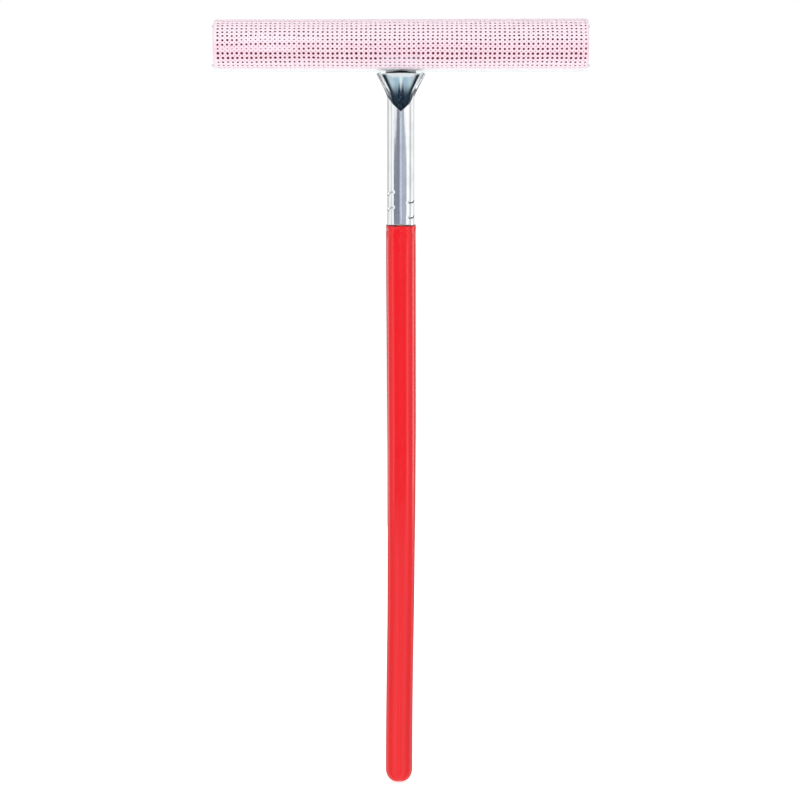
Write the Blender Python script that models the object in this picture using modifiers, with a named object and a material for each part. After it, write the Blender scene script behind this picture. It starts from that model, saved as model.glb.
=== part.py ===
"""Windshield squeegee with a netted sponge, a rubber blade and a film-wrapped wooden handle.

The origin is the middle of the handle's lower end. +Z runs up the handle to the head, X runs
along the head, the sponge faces -Y and the rubber blade faces +Y. Lengths are in metres.
"""
import math

import bmesh
import bpy

# Fits that several pieces share
GAP = 0.0003               # between pieces that touch
OVERRUN = 0.002            # of a cutter past the faces that it cuts
MERGE_DISTANCE = 0.00001   # joins the two ends of a turned shape

# Handle: a wooden stick with a turned tenon, wrapped in glossy red film
HANDLE_LENGTH = 0.3748
HANDLE_NECK_DIAMETER = 0.0200
HANDLE_END_DIAMETER = 0.0181
HANDLE_END_ROUND = 0.0084
HANDLE_END_FLAT = 0.0056
SLEEVE_WALL = 0.0005
TENON_LENGTH = 0.0500
TENON_PLAY = 0.0005
TENON_CHAMFER = 0.0014
# Height up the handle against how much of the swell to the neck is reached there
TAPER_SHARES = ((0.29, 0.0), (0.43, 0.33), (0.58, 0.54), (0.73, 0.77), (0.92, 1.0))

# Socket: one steel sheet, rolled to a tube and opened to a fishtail with a tongue
SOCKET_DIAMETER = 0.0183
SOCKET_SHEET = 0.0008
SOCKET_LENGTH = 0.1050
SEAM_WIDTH = 0.0004
SCOOP_LENGTH = 0.0288
SCOOP_ANGLE = math.radians(132)
FLARE_LENGTH = 0.0186
FLARE_SOFTNESS_SHARE = 0.15
MOUTH_WIDTH = 0.0333
MOUTH_BACK = 0.0054
MOUTH_CURL_DEPTH = 0.0028
MOUTH_CURL_ANGLE = math.radians(56)
SHOULDER_DROP = 0.0013
TONGUE_WIDTH = 0.0210
TONGUE_LENGTH = 0.0204
TONGUE_STEP = 0.0012       # from the fishtail's edge up to the channel
MOUTH_FLAT_SHARE = 0.375   # of the sheet's width, which is the tongue's

# Sponge channel: a folded steel strip whose lips grip the net and the sponge
HEAD_LENGTH = 0.2540
CHANNEL_HEIGHT = 0.0285
CHANNEL_DEPTH = 0.0135
CHANNEL_SHEET = 0.0008
CHANNEL_LIP = 0.0012
CHANNEL_BEND = 0.0010
SLOT_DEPTH = 0.0052         # in front of the tongue
SLOT_PLAY = 0.0004
# Half the width against the depth of the slot that the tongue goes through
SLOT_SHARES = ((1.0, 0.0), (0.85, 0.28), (0.63, 0.53), (0.38, 0.72), (0.12, 0.88), (0.0, 1.0))

# Blade channel: a narrower folded strip, with its mouth crimped over the rubber
BLADE_CHANNEL_HEIGHT = 0.0070
BLADE_CHANNEL_DEPTH = 0.0120
BLADE_CHANNEL_SHEET = 0.0007
BLADE_CHANNEL_LIP = 0.0009
BLADE_CHANNEL_BEND = 0.0007

# Rubber blade
BLADE_REACH = 0.0190       # from the channel's mouth to the wiping edge
BLADE_EDGE = 0.0016
BLADE_ROOT_ROOM = 0.0006   # between the rivets and the root

# Rivets
RIVET_SHANK_DIAMETER = 0.0026
RIVET_HEAD_DIAMETER = 0.0050
RIVET_HEAD_HEIGHT = 0.0012
TONGUE_RIVET_SPACING = 0.0120
OUTER_RIVET_INSET = 0.0320  # from the head's ends

# Sponge and net
NET_LENGTH = 0.2490
NET_HEIGHT = 0.0327
NET_WALL = 0.0008
NET_CROWN = 0.0127         # from the widest plane out to the face
NET_BULGE = 0.0054         # from the channel's lips out to the widest plane
NET_TUCK = 0.0010          # behind the lips
END_ROUND = 0.0026
POCKET_ROOM = 0.0012       # in the foam round the tongue and the rivets
SLOT_POCKET_HEIGHT = 0.0071
MITRE_SHARE = 0.5          # the least that a sharp corner's normals may add up to

# How finely curves are divided
TURN_STEPS = 40
SHEET_COLUMNS = 16
FLARE_ROWS = 16
CROWN_STEPS = 13
SHOULDER_STEPS = 5
END_STEPS = 3
BEND_STEPS = 3

# Places that follow from the sizes. Heights on the head are above the handle's shoulder.
CHANNEL_FOOT = GAP + SOCKET_LENGTH + TONGUE_STEP
HEAD_HEIGHT = CHANNEL_FOOT + CHANNEL_HEIGHT / 2
TONGUE_FACE = MOUTH_BACK - SOCKET_SHEET / 2
WEB_FACE = MOUTH_BACK + SOCKET_SHEET / 2 + GAP
WEB_BACK = WEB_FACE + CHANNEL_SHEET
LIP_FACE = WEB_BACK - CHANNEL_DEPTH
BASE_FACE = WEB_BACK + GAP
BASE_BACK = BASE_FACE + BLADE_CHANNEL_SHEET
BLADE_MOUTH = BASE_FACE + BLADE_CHANNEL_DEPTH
NET_WIDEST = LIP_FACE - NET_BULGE
LIP_OPENING = CHANNEL_HEIGHT / 2 - CHANNEL_SHEET - CHANNEL_LIP
RIVET_HOLE_DIAMETER = RIVET_SHANK_DIAMETER + 2 * GAP
SKIN = NET_WALL + GAP

COLLECTION = "windshield_squeegee"
CUTTERS = "squeegee_cutters"


def clear_scene():
    for obj in list(bpy.data.objects):
        bpy.data.objects.remove(obj, do_unlink=True)


def new_collection(name):
    collection = bpy.data.collections.new(name)
    bpy.context.scene.collection.children.link(collection)
    return collection


def material(name, colour, roughness, metallic=0.0):
    mat = bpy.data.materials.new(name)
    mat.use_nodes = True
    shader = mat.node_tree.nodes["Principled BSDF"]
    shader.inputs["Base Color"].default_value = (*colour, 1.0)
    shader.inputs["Roughness"].default_value = roughness
    shader.inputs["Metallic"].default_value = metallic
    return mat


def add_object(name, data, collection, parent=None, location=(0, 0, 0), rotation=(0, 0, 0)):
    obj = bpy.data.objects.new(name, data)
    obj.location = location
    obj.rotation_euler = rotation
    obj.parent = parent
    collection.objects.link(obj)
    return obj


def add_frame(name, collection, location, parent=None):
    frame = add_object(name, None, collection, parent, location)
    frame.empty_display_size = HANDLE_NECK_DIAMETER
    return frame


def smooth(mesh, sharp_angle=math.radians(35)):
    mesh.shade_smooth()
    mesh.set_sharp_from_angle(angle=sharp_angle)


def cut(obj, cutter, name):
    modifier = obj.modifiers.new(name, "BOOLEAN")
    modifier.operation = "DIFFERENCE"
    modifier.object = cutter


def hide_cutter(cutter):
    cutter.hide_render = True
    cutter.display_type = "WIRE"
    return cutter


def box_cutter(name, collection, parent, low, high):
    """A cutter between two opposite corners, given in the parent's frame."""
    bm = bmesh.new()
    bmesh.ops.create_cube(bm, size=1)
    size = [b - a for a, b in zip(low, high)]
    bmesh.ops.scale(bm, vec=size, verts=bm.verts)
    mesh = bpy.data.meshes.new(name)
    bm.to_mesh(mesh)
    bm.free()
    middle = [(a + b) / 2 for a, b in zip(low, high)]
    return hide_cutter(add_object(name, mesh, collection, parent, middle))


def round_cutter(name, collection, parent, diameter, front, back, x):
    """A cutter along Y through the rivets' line, from front to back."""
    bm = bmesh.new()
    bmesh.ops.create_cone(
        bm, cap_ends=True, segments=TURN_STEPS // 2, radius1=diameter / 2, radius2=diameter / 2,
        depth=back - front)
    mesh = bpy.data.meshes.new(name)
    bm.to_mesh(mesh)
    bm.free()
    place = (x, (front + back) / 2, HEAD_HEIGHT)
    turned = (math.radians(90), 0, 0)
    return hide_cutter(add_object(name, mesh, collection, parent, place, turned))


def turned_mesh(name, profile):
    """The mesh of a profile of (radius, height) points, which runs down the outer side."""
    mesh = bpy.data.meshes.new(name)
    edges = [(i, i + 1) for i in range(len(profile) - 1)]
    mesh.from_pydata([(r, 0, z) for r, z in profile], edges, [])
    return mesh


def turn(obj, steps=TURN_STEPS):
    modifier = obj.modifiers.new("turn", "SCREW")
    modifier.axis = "Z"
    modifier.steps = steps
    modifier.render_steps = steps
    modifier.use_merge_vertices = True
    modifier.merge_threshold = MERGE_DISTANCE
    modifier.use_smooth_shade = True


def loft(name, rings):
    """A closed body with quads between rings, which are loops with equally many points."""
    bm = bmesh.new()
    rows = [[bm.verts.new(point) for point in ring] for ring in rings]
    count = len(rings[0])
    for lower, upper in zip(rows, rows[1:]):
        for i in range(count):
            j = (i + 1) % count
            bm.faces.new((lower[i], lower[j], upper[j], upper[i]))
    bm.faces.new(rows[0])
    bm.faces.new(rows[-1])
    bmesh.ops.recalc_face_normals(bm, faces=bm.faces)
    mesh = bpy.data.meshes.new(name)
    bm.to_mesh(mesh)
    bm.free()
    return mesh


def handle_radius(height, inset):
    """The radius under the film's outer face by inset, at a height above the rounded end."""
    swell = (HANDLE_NECK_DIAMETER - HANDLE_END_DIAMETER) / 2
    share = height / HANDLE_LENGTH
    reached = TAPER_SHARES[-1][1]
    if share <= TAPER_SHARES[0][0]:
        reached = TAPER_SHARES[0][1]
    for (low, a), (high, b) in zip(TAPER_SHARES, TAPER_SHARES[1:]):
        if low < share <= high:
            reached = a + (b - a) * (share - low) / (high - low)
    return HANDLE_END_DIAMETER / 2 + swell * reached - inset


def handle_side(inset):
    """Points down the handle's side and round its end, inset from the film's outer face."""
    heights = [HANDLE_LENGTH] + [HANDLE_LENGTH * share for share, _ in reversed(TAPER_SHARES)]
    points = [(handle_radius(z, inset), z) for z in heights]
    flat = HANDLE_END_FLAT / 2
    steps = TURN_STEPS // 4
    for i in range(steps + 1):
        angle = math.pi / 2 * i / steps
        radius = flat + (HANDLE_END_DIAMETER / 2 - inset - flat) * math.cos(angle)
        height = HANDLE_END_ROUND - (HANDLE_END_ROUND - inset) * math.sin(angle)
        points.append((radius, height))
    return points


def make_sleeve(collection, frame):
    outside = handle_side(0)
    inside = list(reversed(handle_side(SLEEVE_WALL)))
    profile = [(0, SLEEVE_WALL)] + inside + outside + [(0, 0)]
    sleeve = add_object("handle_sleeve", turned_mesh("handle_sleeve", profile), collection, frame)
    turn(sleeve)
    sleeve.data.materials.append(material("red_film", (0.80, 0.015, 0.02), 0.12))


def make_core(collection, frame):
    tenon = SOCKET_DIAMETER / 2 - SOCKET_SHEET - TENON_PLAY
    top = HANDLE_LENGTH + TENON_LENGTH
    inset = SLEEVE_WALL + GAP
    profile = [(0, top), (tenon - TENON_CHAMFER, top), (tenon, top - TENON_CHAMFER)]
    profile += [(tenon, HANDLE_LENGTH)] + handle_side(inset) + [(0, inset)]
    core = add_object("handle_core", turned_mesh("handle_core", profile), collection, frame)
    turn(core)
    core.data.materials.append(material("bare_wood", (0.62, 0.42, 0.22), 0.65))


def flare_share(height):
    """How far the tube has become the fishtail, from 0 to 1, at a height above its foot."""
    start = SOCKET_LENGTH - FLARE_LENGTH
    share = max(0, height - start) / FLARE_LENGTH
    soft = FLARE_SOFTNESS_SHARE
    return (math.hypot(share, soft) - soft) / (math.hypot(1, soft) - soft)


def seam_angle(height):
    """How far round from the back the sheet reaches at a height above the socket's foot."""
    radius = (SOCKET_DIAMETER - SOCKET_SHEET) / 2
    closed = math.pi - SEAM_WIDTH / 2 / radius
    apex = SOCKET_LENGTH - SCOOP_LENGTH
    full = SOCKET_LENGTH - FLARE_LENGTH
    share = min(1, max(0, (height - apex) / (full - apex)))
    return closed + (SCOOP_ANGLE - closed) * math.sin(math.pi / 2 * share)


def tube_point(side, height):
    radius = (SOCKET_DIAMETER - SOCKET_SHEET) / 2
    angle = side * seam_angle(height)
    return radius * math.sin(angle), radius * math.cos(angle)


def mouth_point(side):
    """The fishtail's section: flat across the tongue's width, then curled forward."""
    flat = TONGUE_WIDTH / 2
    if abs(side) <= MOUTH_FLAT_SHARE:
        return flat * side / MOUTH_FLAT_SHARE, MOUTH_BACK
    reach = (MOUTH_WIDTH - SOCKET_SHEET) / 2 - flat
    share = (abs(side) - MOUTH_FLAT_SHARE) / (1 - MOUTH_FLAT_SHARE)
    angle = (math.pi / 2 + MOUTH_CURL_ANGLE) * share
    x = flat + reach * math.sin(angle)
    y = MOUTH_BACK - MOUTH_CURL_DEPTH * (1 - math.cos(angle))
    return math.copysign(x, side), y


def socket_point(side, height):
    """A point of the sheet's middle face, with side from -1 to 1 from edge to edge."""
    share = flare_share(height)
    tube_x, tube_y = tube_point(side, height)
    mouth_x, mouth_y = mouth_point(side)
    x = tube_x + (mouth_x - tube_x) * share
    y = tube_y + (mouth_y - tube_y) * share
    outside = max(0, abs(mouth_x) - TONGUE_WIDTH / 2) / ((MOUTH_WIDTH - TONGUE_WIDTH) / 2)
    return x, y, height - SHOULDER_DROP * share * outside ** 2


def socket_mesh():
    """The rolled sheet as an open surface, with its tongue above the fishtail's middle."""
    bm = bmesh.new()
    apex = SOCKET_LENGTH - SCOOP_LENGTH
    heights = [0, apex / 2] + [apex + SCOOP_LENGTH * i / FLARE_ROWS for i in range(FLARE_ROWS + 1)]
    sides = [i / SHEET_COLUMNS for i in range(-SHEET_COLUMNS, SHEET_COLUMNS + 1)]
    below = None
    for height in heights:
        row = [bm.verts.new(socket_point(side, height)) for side in sides]
        if below:
            for i in range(len(sides) - 1):
                bm.faces.new((below[i], below[i + 1], row[i + 1], row[i]))
        below = row
    below = [vert for vert, side in zip(below, sides) if abs(side) <= MOUTH_FLAT_SHARE]
    for height in (SOCKET_LENGTH + TONGUE_STEP, HEAD_HEIGHT - GAP, SOCKET_LENGTH + TONGUE_LENGTH):
        row = [bm.verts.new((vert.co.x, vert.co.y, height)) for vert in below]
        for i in range(len(below) - 1):
            bm.faces.new((below[i], below[i + 1], row[i + 1], row[i]))
        below = row
    mesh = bpy.data.meshes.new("socket")
    bm.to_mesh(mesh)
    bm.free()
    return mesh


def thicken(obj, thickness):
    modifier = obj.modifiers.new("sheet", "SOLIDIFY")
    modifier.thickness = thickness
    modifier.offset = 0
    modifier.use_even_offset = True


def make_socket(collection, frame, steel, holes):
    socket = add_object("socket", socket_mesh(), collection, frame, (0, 0, GAP))
    smooth(socket.data)
    thicken(socket, SOCKET_SHEET)
    for hole in holes:
        cut(socket, hole, hole.name)
    socket.data.materials.append(steel)


def folded_strip(name, path, length, sheet, bend):
    """The mesh of a strip folded along X, from the corners of its middle face as (y, z)."""
    bm = bmesh.new()
    rows = [[bm.verts.new((x, y, z)) for y, z in path] for x in (-length / 2, length / 2)]
    for i in range(len(path) - 1):
        bm.faces.new((rows[0][i], rows[0][i + 1], rows[1][i + 1], rows[1][i]))
    folds = [edge for edge in bm.edges if len(edge.link_faces) == 2]
    bmesh.ops.bevel(
        bm, geom=folds, offset=bend, segments=BEND_STEPS, affect="EDGES", profile=0.5,
        clamp_overlap=True)
    mesh = bpy.data.meshes.new(name)
    bm.to_mesh(mesh)
    bm.free()
    return mesh


def make_sponge_channel(collection, frame, steel, cutters):
    half = CHANNEL_SHEET / 2
    side = CHANNEL_HEIGHT / 2 - half
    path = [
        (LIP_FACE + half, LIP_OPENING),
        (LIP_FACE + half, side),
        (WEB_BACK - half, side),
        (WEB_BACK - half, -side),
        (LIP_FACE + half, -side),
        (LIP_FACE + half, -LIP_OPENING),
    ]
    mesh = folded_strip("sponge_channel", path, HEAD_LENGTH, CHANNEL_SHEET, CHANNEL_BEND)
    channel = add_object("sponge_channel", mesh, collection, frame, (0, 0, HEAD_HEIGHT))
    smooth(channel.data)
    thicken(channel, CHANNEL_SHEET)
    for cutter in cutters:
        cut(channel, cutter, cutter.name)
    channel.data.materials.append(steel)


def make_blade_channel(collection, frame, steel, cutters):
    half = BLADE_CHANNEL_SHEET / 2
    side = BLADE_CHANNEL_HEIGHT / 2 - half
    lip = side - BLADE_CHANNEL_LIP
    path = [
        (BLADE_MOUTH - half, lip),
        (BLADE_MOUTH - half, side),
        (BASE_FACE + half, side),
        (BASE_FACE + half, -side),
        (BLADE_MOUTH - half, -side),
        (BLADE_MOUTH - half, -lip),
    ]
    mesh = folded_strip(
        "blade_channel", path, HEAD_LENGTH, BLADE_CHANNEL_SHEET, BLADE_CHANNEL_BEND)
    channel = add_object("blade_channel", mesh, collection, frame, (0, 0, HEAD_HEIGHT))
    smooth(channel.data)
    thicken(channel, BLADE_CHANNEL_SHEET)
    for cutter in cutters:
        cut(channel, cutter, cutter.name)
    channel.data.materials.append(steel)


def blade_outline():
    """Half of the rubber's section as (y, half height), from the root's back to the edge."""
    room = BLADE_CHANNEL_HEIGHT / 2 - BLADE_CHANNEL_SHEET
    root = room - GAP
    neck = room - BLADE_CHANNEL_LIP - GAP
    start = BASE_BACK + GAP + RIVET_HEAD_HEIGHT + BLADE_ROOT_ROOM
    shoulder = BLADE_MOUTH - BLADE_CHANNEL_SHEET - GAP
    relief = BLADE_CHANNEL_LIP / 2
    return [
        (start, root - relief),
        (start + relief, root),
        (shoulder - relief, root),
        (shoulder, root - relief),
        (shoulder, neck),
        (BLADE_MOUTH + relief, neck),
        (BLADE_MOUTH + BLADE_REACH, BLADE_EDGE / 2),
    ]


def make_blade(collection, frame):
    """The rubber is a flat outline, drawn with its own axes and stood along the head."""
    upper = blade_outline()
    outline = upper + [(y, -z) for y, z in reversed(upper)]
    curve = bpy.data.curves.new("rubber_blade", "CURVE")
    curve.dimensions = "2D"
    curve.fill_mode = "BOTH"
    curve.extrude = HEAD_LENGTH / 2
    spline = curve.splines.new("POLY")
    spline.points.add(len(outline) - 1)
    for point, (y, z) in zip(spline.points, outline):
        point.co = (y, z, 0, 1)
    spline.use_cyclic_u = True
    along_head = (math.radians(90), 0, math.radians(90))
    place = (0, 0, HEAD_HEIGHT)
    blade = add_object("rubber_blade", curve, collection, frame, place, along_head)
    blade.data.materials.append(material("black_rubber", (0.02, 0.02, 0.022), 0.55))


def rivet_profile(grip):
    """A dome head at each end of a shank of the grip's length, down the outer side."""
    shank = RIVET_SHANK_DIAMETER / 2
    head = RIVET_HEAD_DIAMETER / 2
    steps = TURN_STEPS // 8
    dome = []
    for i in range(steps + 1):
        angle = math.pi / 2 * i / steps
        height = grip / 2 + RIVET_HEAD_HEIGHT * math.cos(angle)
        dome.append((head * math.sin(angle), height))
    return dome + [(shank, grip / 2), (shank, -grip / 2)] + [(r, -z) for r, z in reversed(dome)]


def make_rivet(name, collection, frame, steel, x, front):
    """A rivet from the front face that it grips through to the blade channel's base."""
    grip = BASE_BACK + GAP - (front - GAP)
    middle = (BASE_BACK + front) / 2
    turned = (math.radians(90), 0, 0)
    mesh = turned_mesh(name, rivet_profile(grip))
    rivet = add_object(name, mesh, collection, frame, (x, middle, HEAD_HEIGHT), turned)
    turn(rivet, TURN_STEPS // 2)
    rivet.data.materials.append(steel)


def net_outline():
    """Half of the net's outer face as (y, half height), from its tucked edge to the crown."""
    mouth = LIP_OPENING - GAP
    half = NET_HEIGHT / 2
    bend = LIP_FACE - GAP
    points = [(LIP_FACE + CHANNEL_SHEET + NET_TUCK, mouth), (bend, mouth)]
    for i in range(1, SHOULDER_STEPS + 1):
        angle = math.pi / 2 * i / SHOULDER_STEPS
        y = bend + (NET_WIDEST - bend) * (1 - math.cos(angle))
        points.append((y, mouth + (half - mouth) * math.sin(angle)))
    for i in range(1, CROWN_STEPS + 1):
        angle = math.pi / 2 * i / CROWN_STEPS
        points.append((NET_WIDEST - NET_CROWN * math.sin(angle), half * math.cos(angle)))
    return points


def inset_outline(points, inset):
    """The same points moved inwards by the inset, square to the outline."""
    moved = []
    for i, (y, z) in enumerate(points):
        before = points[max(i - 1, 0)]
        after = points[min(i + 1, len(points) - 1)]
        first = (y - before[0], z - before[1])
        second = (after[0] - y, after[1] - z)
        normals = []
        for dy, dz in (first, second):
            size = math.hypot(dy, dz)
            if size > 0:
                normals.append((-dz / size, dy / size))
        ny = sum(n[0] for n in normals)
        nz = sum(n[1] for n in normals)
        size = math.hypot(ny, nz)
        # The mitre keeps the full inset on both sides of a corner
        mitre = inset / max(size / len(normals), MITRE_SHARE) / size
        moved.append((y + ny * mitre, z + nz * mitre))
    moved[-1] = (points[-1][0] + inset, 0)
    return moved


def whole_section(half):
    """A closed section from its upper half, whose last point is on the middle line."""
    return half + [(y, -z) for y, z in reversed(half[:-1])]


def section_rings(section, length):
    """The section along X, with what stands out of the channel drawn in round both ends."""
    stations = []
    for i in range(END_STEPS + 1):
        angle = math.pi / 2 * i / END_STEPS
        drawn_in = END_ROUND * (1 - math.sin(angle))
        x = length / 2 - END_ROUND * (1 - math.cos(angle))
        stations.append((x, 1 - drawn_in / (NET_HEIGHT / 2)))
    stations += [(-x, scale) for x, scale in reversed(stations)]
    rings = []
    for x, scale in stations:
        ring = [(x, LIP_FACE + min(0, y - LIP_FACE) * scale + max(0, y - LIP_FACE), z * scale)
                for y, z in section]
        rings.append(ring)
    return rings


def sponge_section():
    """The foam: a block that fills the channel, a waist at the lips and the crown."""
    skin = inset_outline(net_outline(), SKIN)
    back = WEB_FACE - GAP
    front = LIP_FACE + CHANNEL_SHEET + NET_TUCK + GAP
    side = CHANNEL_HEIGHT / 2 - CHANNEL_SHEET - GAP
    waist = skin[0][1]
    return whole_section([(back, side), (front, side), (front, waist)] + skin[1:])


def make_sponge(collection, frame, pockets):
    rings = section_rings(sponge_section(), NET_LENGTH - 2 * SKIN)
    place = (0, 0, HEAD_HEIGHT)
    sponge = add_object("sponge", loft("sponge", rings), collection, frame, place)
    smooth(sponge.data)
    for pocket in pockets:
        cut(sponge, pocket, pocket.name)
    sponge.data.materials.append(material("red_foam", (0.42, 0.02, 0.05), 0.95))


def make_net(collection, cutters, frame):
    """The net's wrap: its outer form less the foam's form, open where it is tucked in."""
    outer = net_outline()
    tail = outer[0][0]
    inner = inset_outline(outer, NET_WALL)
    past = tail + OVERRUN
    outer_rings = section_rings(whole_section(outer), NET_LENGTH)
    inner_section = whole_section([(past, inner[0][1])] + inner[1:])
    inner_rings = section_rings(inner_section, NET_LENGTH - 2 * NET_WALL)
    place = (0, 0, HEAD_HEIGHT)
    net = add_object("net_cover", loft("net_cover", outer_rings), collection, frame, place)
    core = add_object("net_hollow", loft("net_hollow", inner_rings), cutters, frame, place)
    cut(net, hide_cutter(core), "hollow")
    smooth(net.data)
    net.data.materials.append(material("pale_net", (0.93, 0.80, 0.83), 0.5))


def make_slot_cutter(cutters, frame):
    """The slot in the channel's lower wall, drawn to a point in front of the tongue."""
    half = TONGUE_WIDTH / 2 + SLOT_PLAY
    start = TONGUE_FACE - GAP
    right = [(half * x, start - SLOT_DEPTH * depth) for x, depth in SLOT_SHARES]
    left = [(-x, y) for x, y in reversed(right[:-1])]
    outline = [(half, WEB_BACK + OVERRUN)] + right + left + [(-half, WEB_BACK + OVERRUN)]
    low = CHANNEL_FOOT - OVERRUN
    high = CHANNEL_FOOT + CHANNEL_SHEET + CHANNEL_BEND
    rings = [[(x, y, z) for x, y in outline] for z in (low, high)]
    return hide_cutter(add_object("slot_cutter", loft("slot_cutter", rings), cutters, frame))


def make_pocket_cutters(cutters, frame, rivet_places):
    """Hollows in the foam's back for the tongue, the slot and the rivets' heads."""
    half = TONGUE_WIDTH / 2 + POCKET_ROOM
    head = RIVET_HEAD_HEIGHT + GAP
    foot = CHANNEL_FOOT - OVERRUN
    back = WEB_BACK + OVERRUN
    front = TONGUE_FACE - head - POCKET_ROOM
    top = GAP + SOCKET_LENGTH + TONGUE_LENGTH + POCKET_ROOM
    tongue = box_cutter(
        "tongue_pocket", cutters, frame, (-half, front, foot), (half, back, top))
    over_slot = TONGUE_FACE - GAP - SLOT_DEPTH - POCKET_ROOM
    slot_top = CHANNEL_FOOT + SLOT_POCKET_HEIGHT
    slot = box_cutter(
        "slot_pocket", cutters, frame, (-half, over_slot, foot), (half, back, slot_top))
    pockets = [tongue, slot]
    for side, x in rivet_places:
        pockets.append(round_cutter(
            "pocket_" + side, cutters, frame, RIVET_HEAD_DIAMETER + POCKET_ROOM,
            WEB_FACE - head - POCKET_ROOM, back, x))
    return pockets


def make_rivet_holes(cutters, frame, places, front):
    holes = []
    for side, x in places:
        name = "hole_" + side
        holes.append(round_cutter(
            name, cutters, frame, RIVET_HOLE_DIAMETER, front - OVERRUN, BASE_BACK + OVERRUN, x))
    return holes


def build():
    clear_scene()
    squeegee = new_collection(COLLECTION)
    cutters = new_collection(CUTTERS)
    handle_frame = add_frame("handle_frame", squeegee, (0, 0, 0))
    head_frame = add_frame("head_frame", squeegee, (0, 0, HANDLE_LENGTH), handle_frame)

    make_core(squeegee, handle_frame)
    make_sleeve(squeegee, handle_frame)

    tongue_places = [("tongue_left", -TONGUE_RIVET_SPACING / 2),
                     ("tongue_right", TONGUE_RIVET_SPACING / 2)]
    outer = HEAD_LENGTH / 2 - OUTER_RIVET_INSET
    outer_places = [("outer_left", -outer), ("outer_right", outer)]
    tongue_holes = make_rivet_holes(cutters, head_frame, tongue_places, TONGUE_FACE)
    outer_holes = make_rivet_holes(cutters, head_frame, outer_places, WEB_FACE)
    slot = make_slot_cutter(cutters, head_frame)
    pockets = make_pocket_cutters(cutters, head_frame, outer_places)

    bright = material("bright_steel", (0.78, 0.80, 0.82), 0.12, 1.0)
    zinc = material("zinc_steel", (0.70, 0.72, 0.74), 0.28, 1.0)
    make_socket(squeegee, head_frame, bright, tongue_holes)
    make_sponge_channel(squeegee, head_frame, zinc, [slot] + tongue_holes + outer_holes)
    make_blade_channel(squeegee, head_frame, zinc, tongue_holes + outer_holes)
    make_blade(squeegee, head_frame)
    for side, x in tongue_places:
        make_rivet("rivet_" + side, squeegee, head_frame, zinc, x, TONGUE_FACE)
    for side, x in outer_places:
        make_rivet("rivet_" + side, squeegee, head_frame, zinc, x, WEB_FACE)
    make_sponge(squeegee, head_frame, pockets)
    make_net(squeegee, cutters, head_frame)


build()
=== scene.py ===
"""Looks of a windshield squeegee: net, foam, rolled steel socket, film-wrapped wooden handle.

Everything is in metres in the part's own frame: +Z up the handle, X along the head, the net
faces -Y and the rubber blade +Y.
"""
import math

import bmesh
import bpy
import numpy as np
from mathutils import Matrix, Vector


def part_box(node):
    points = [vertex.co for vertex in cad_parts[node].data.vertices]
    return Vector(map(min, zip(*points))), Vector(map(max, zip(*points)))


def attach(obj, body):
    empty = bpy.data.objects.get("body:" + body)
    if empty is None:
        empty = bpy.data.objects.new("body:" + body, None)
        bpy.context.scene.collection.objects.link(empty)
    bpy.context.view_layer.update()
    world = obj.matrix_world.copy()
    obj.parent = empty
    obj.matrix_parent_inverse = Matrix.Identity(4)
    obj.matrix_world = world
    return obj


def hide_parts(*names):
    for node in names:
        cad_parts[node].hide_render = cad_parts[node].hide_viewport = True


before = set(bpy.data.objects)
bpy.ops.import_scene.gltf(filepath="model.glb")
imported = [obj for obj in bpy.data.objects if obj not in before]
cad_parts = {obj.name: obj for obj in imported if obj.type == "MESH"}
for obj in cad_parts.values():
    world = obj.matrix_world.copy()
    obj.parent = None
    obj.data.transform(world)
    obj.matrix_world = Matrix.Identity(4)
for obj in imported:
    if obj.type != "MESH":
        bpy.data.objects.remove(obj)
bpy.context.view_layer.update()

# The photograph's view: the camera stands level, at this height and distance
PIXEL = 0.000677            # size of a picture element at the handle's axis
PICTURE_SIDE = 800
CAMERA_DISTANCE = 0.950
CAMERA_HEIGHT = 0.2576
AXIS_SHIFT_PIXELS = 0.9     # of the handle's axis to the right of the picture's middle
SENSOR = 36.0               # the camera's picture plane, in millimetres

# Sizes that follow the frame
HANDLE_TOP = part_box("handle_sleeve")[1].z
CORE_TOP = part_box("handle_core")[1].z
SOCKET_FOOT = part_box("socket")[0].z
SOCKET_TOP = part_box("socket")[1].z
CHANNEL_LOW, CHANNEL_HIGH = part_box("sponge_channel")
BLADE_LOW, BLADE_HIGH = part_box("blade_channel")
RUBBER_LOW, RUBBER_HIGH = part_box("rubber_blade")
NET_LOW, NET_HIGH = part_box("net_cover")
HEAD_Z = (CHANNEL_LOW.z + CHANNEL_HIGH.z) / 2
HEAD_LENGTH = CHANNEL_HIGH.x - CHANNEL_LOW.x
NET_LENGTH = NET_HIGH.x - NET_LOW.x
LIP_FACE = CHANNEL_LOW.y
WEB_BACK = CHANNEL_HIGH.y

# Fits and sheet thicknesses, as in the part
GAP = 0.0003
SLEEVE_WALL = 0.0005
SOCKET_SHEET = 0.0008
CHANNEL_SHEET = 0.0008
BLADE_SHEET = 0.0007


def smoothstep(low, high, value):
    share = np.clip((value - low) / (high - low), 0, 1)
    return share * share * (3 - 2 * share)


def joined(*parts):
    """An array of points from an array or a number for each of their coordinates."""
    return np.stack(np.broadcast_arrays(*parts), axis=-1)


def smooth_curve(at, places, values):
    """A curve without kinks through the given values, by Catmull and Rom's weights."""
    places, values = np.asarray(places), np.asarray(values)
    slopes = np.gradient(values, places)
    i = np.clip(np.searchsorted(places, at) - 1, 0, len(places) - 2)
    width = places[i + 1] - places[i]
    t = np.clip((at - places[i]) / width, 0, 1)
    rise = t * t * (3 - 2 * t)
    bend = width * (slopes[i] * t * (1 - t) ** 2 - slopes[i + 1] * t * t * (1 - t))
    return values[i] + (values[i + 1] - values[i]) * rise + bend


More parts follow.
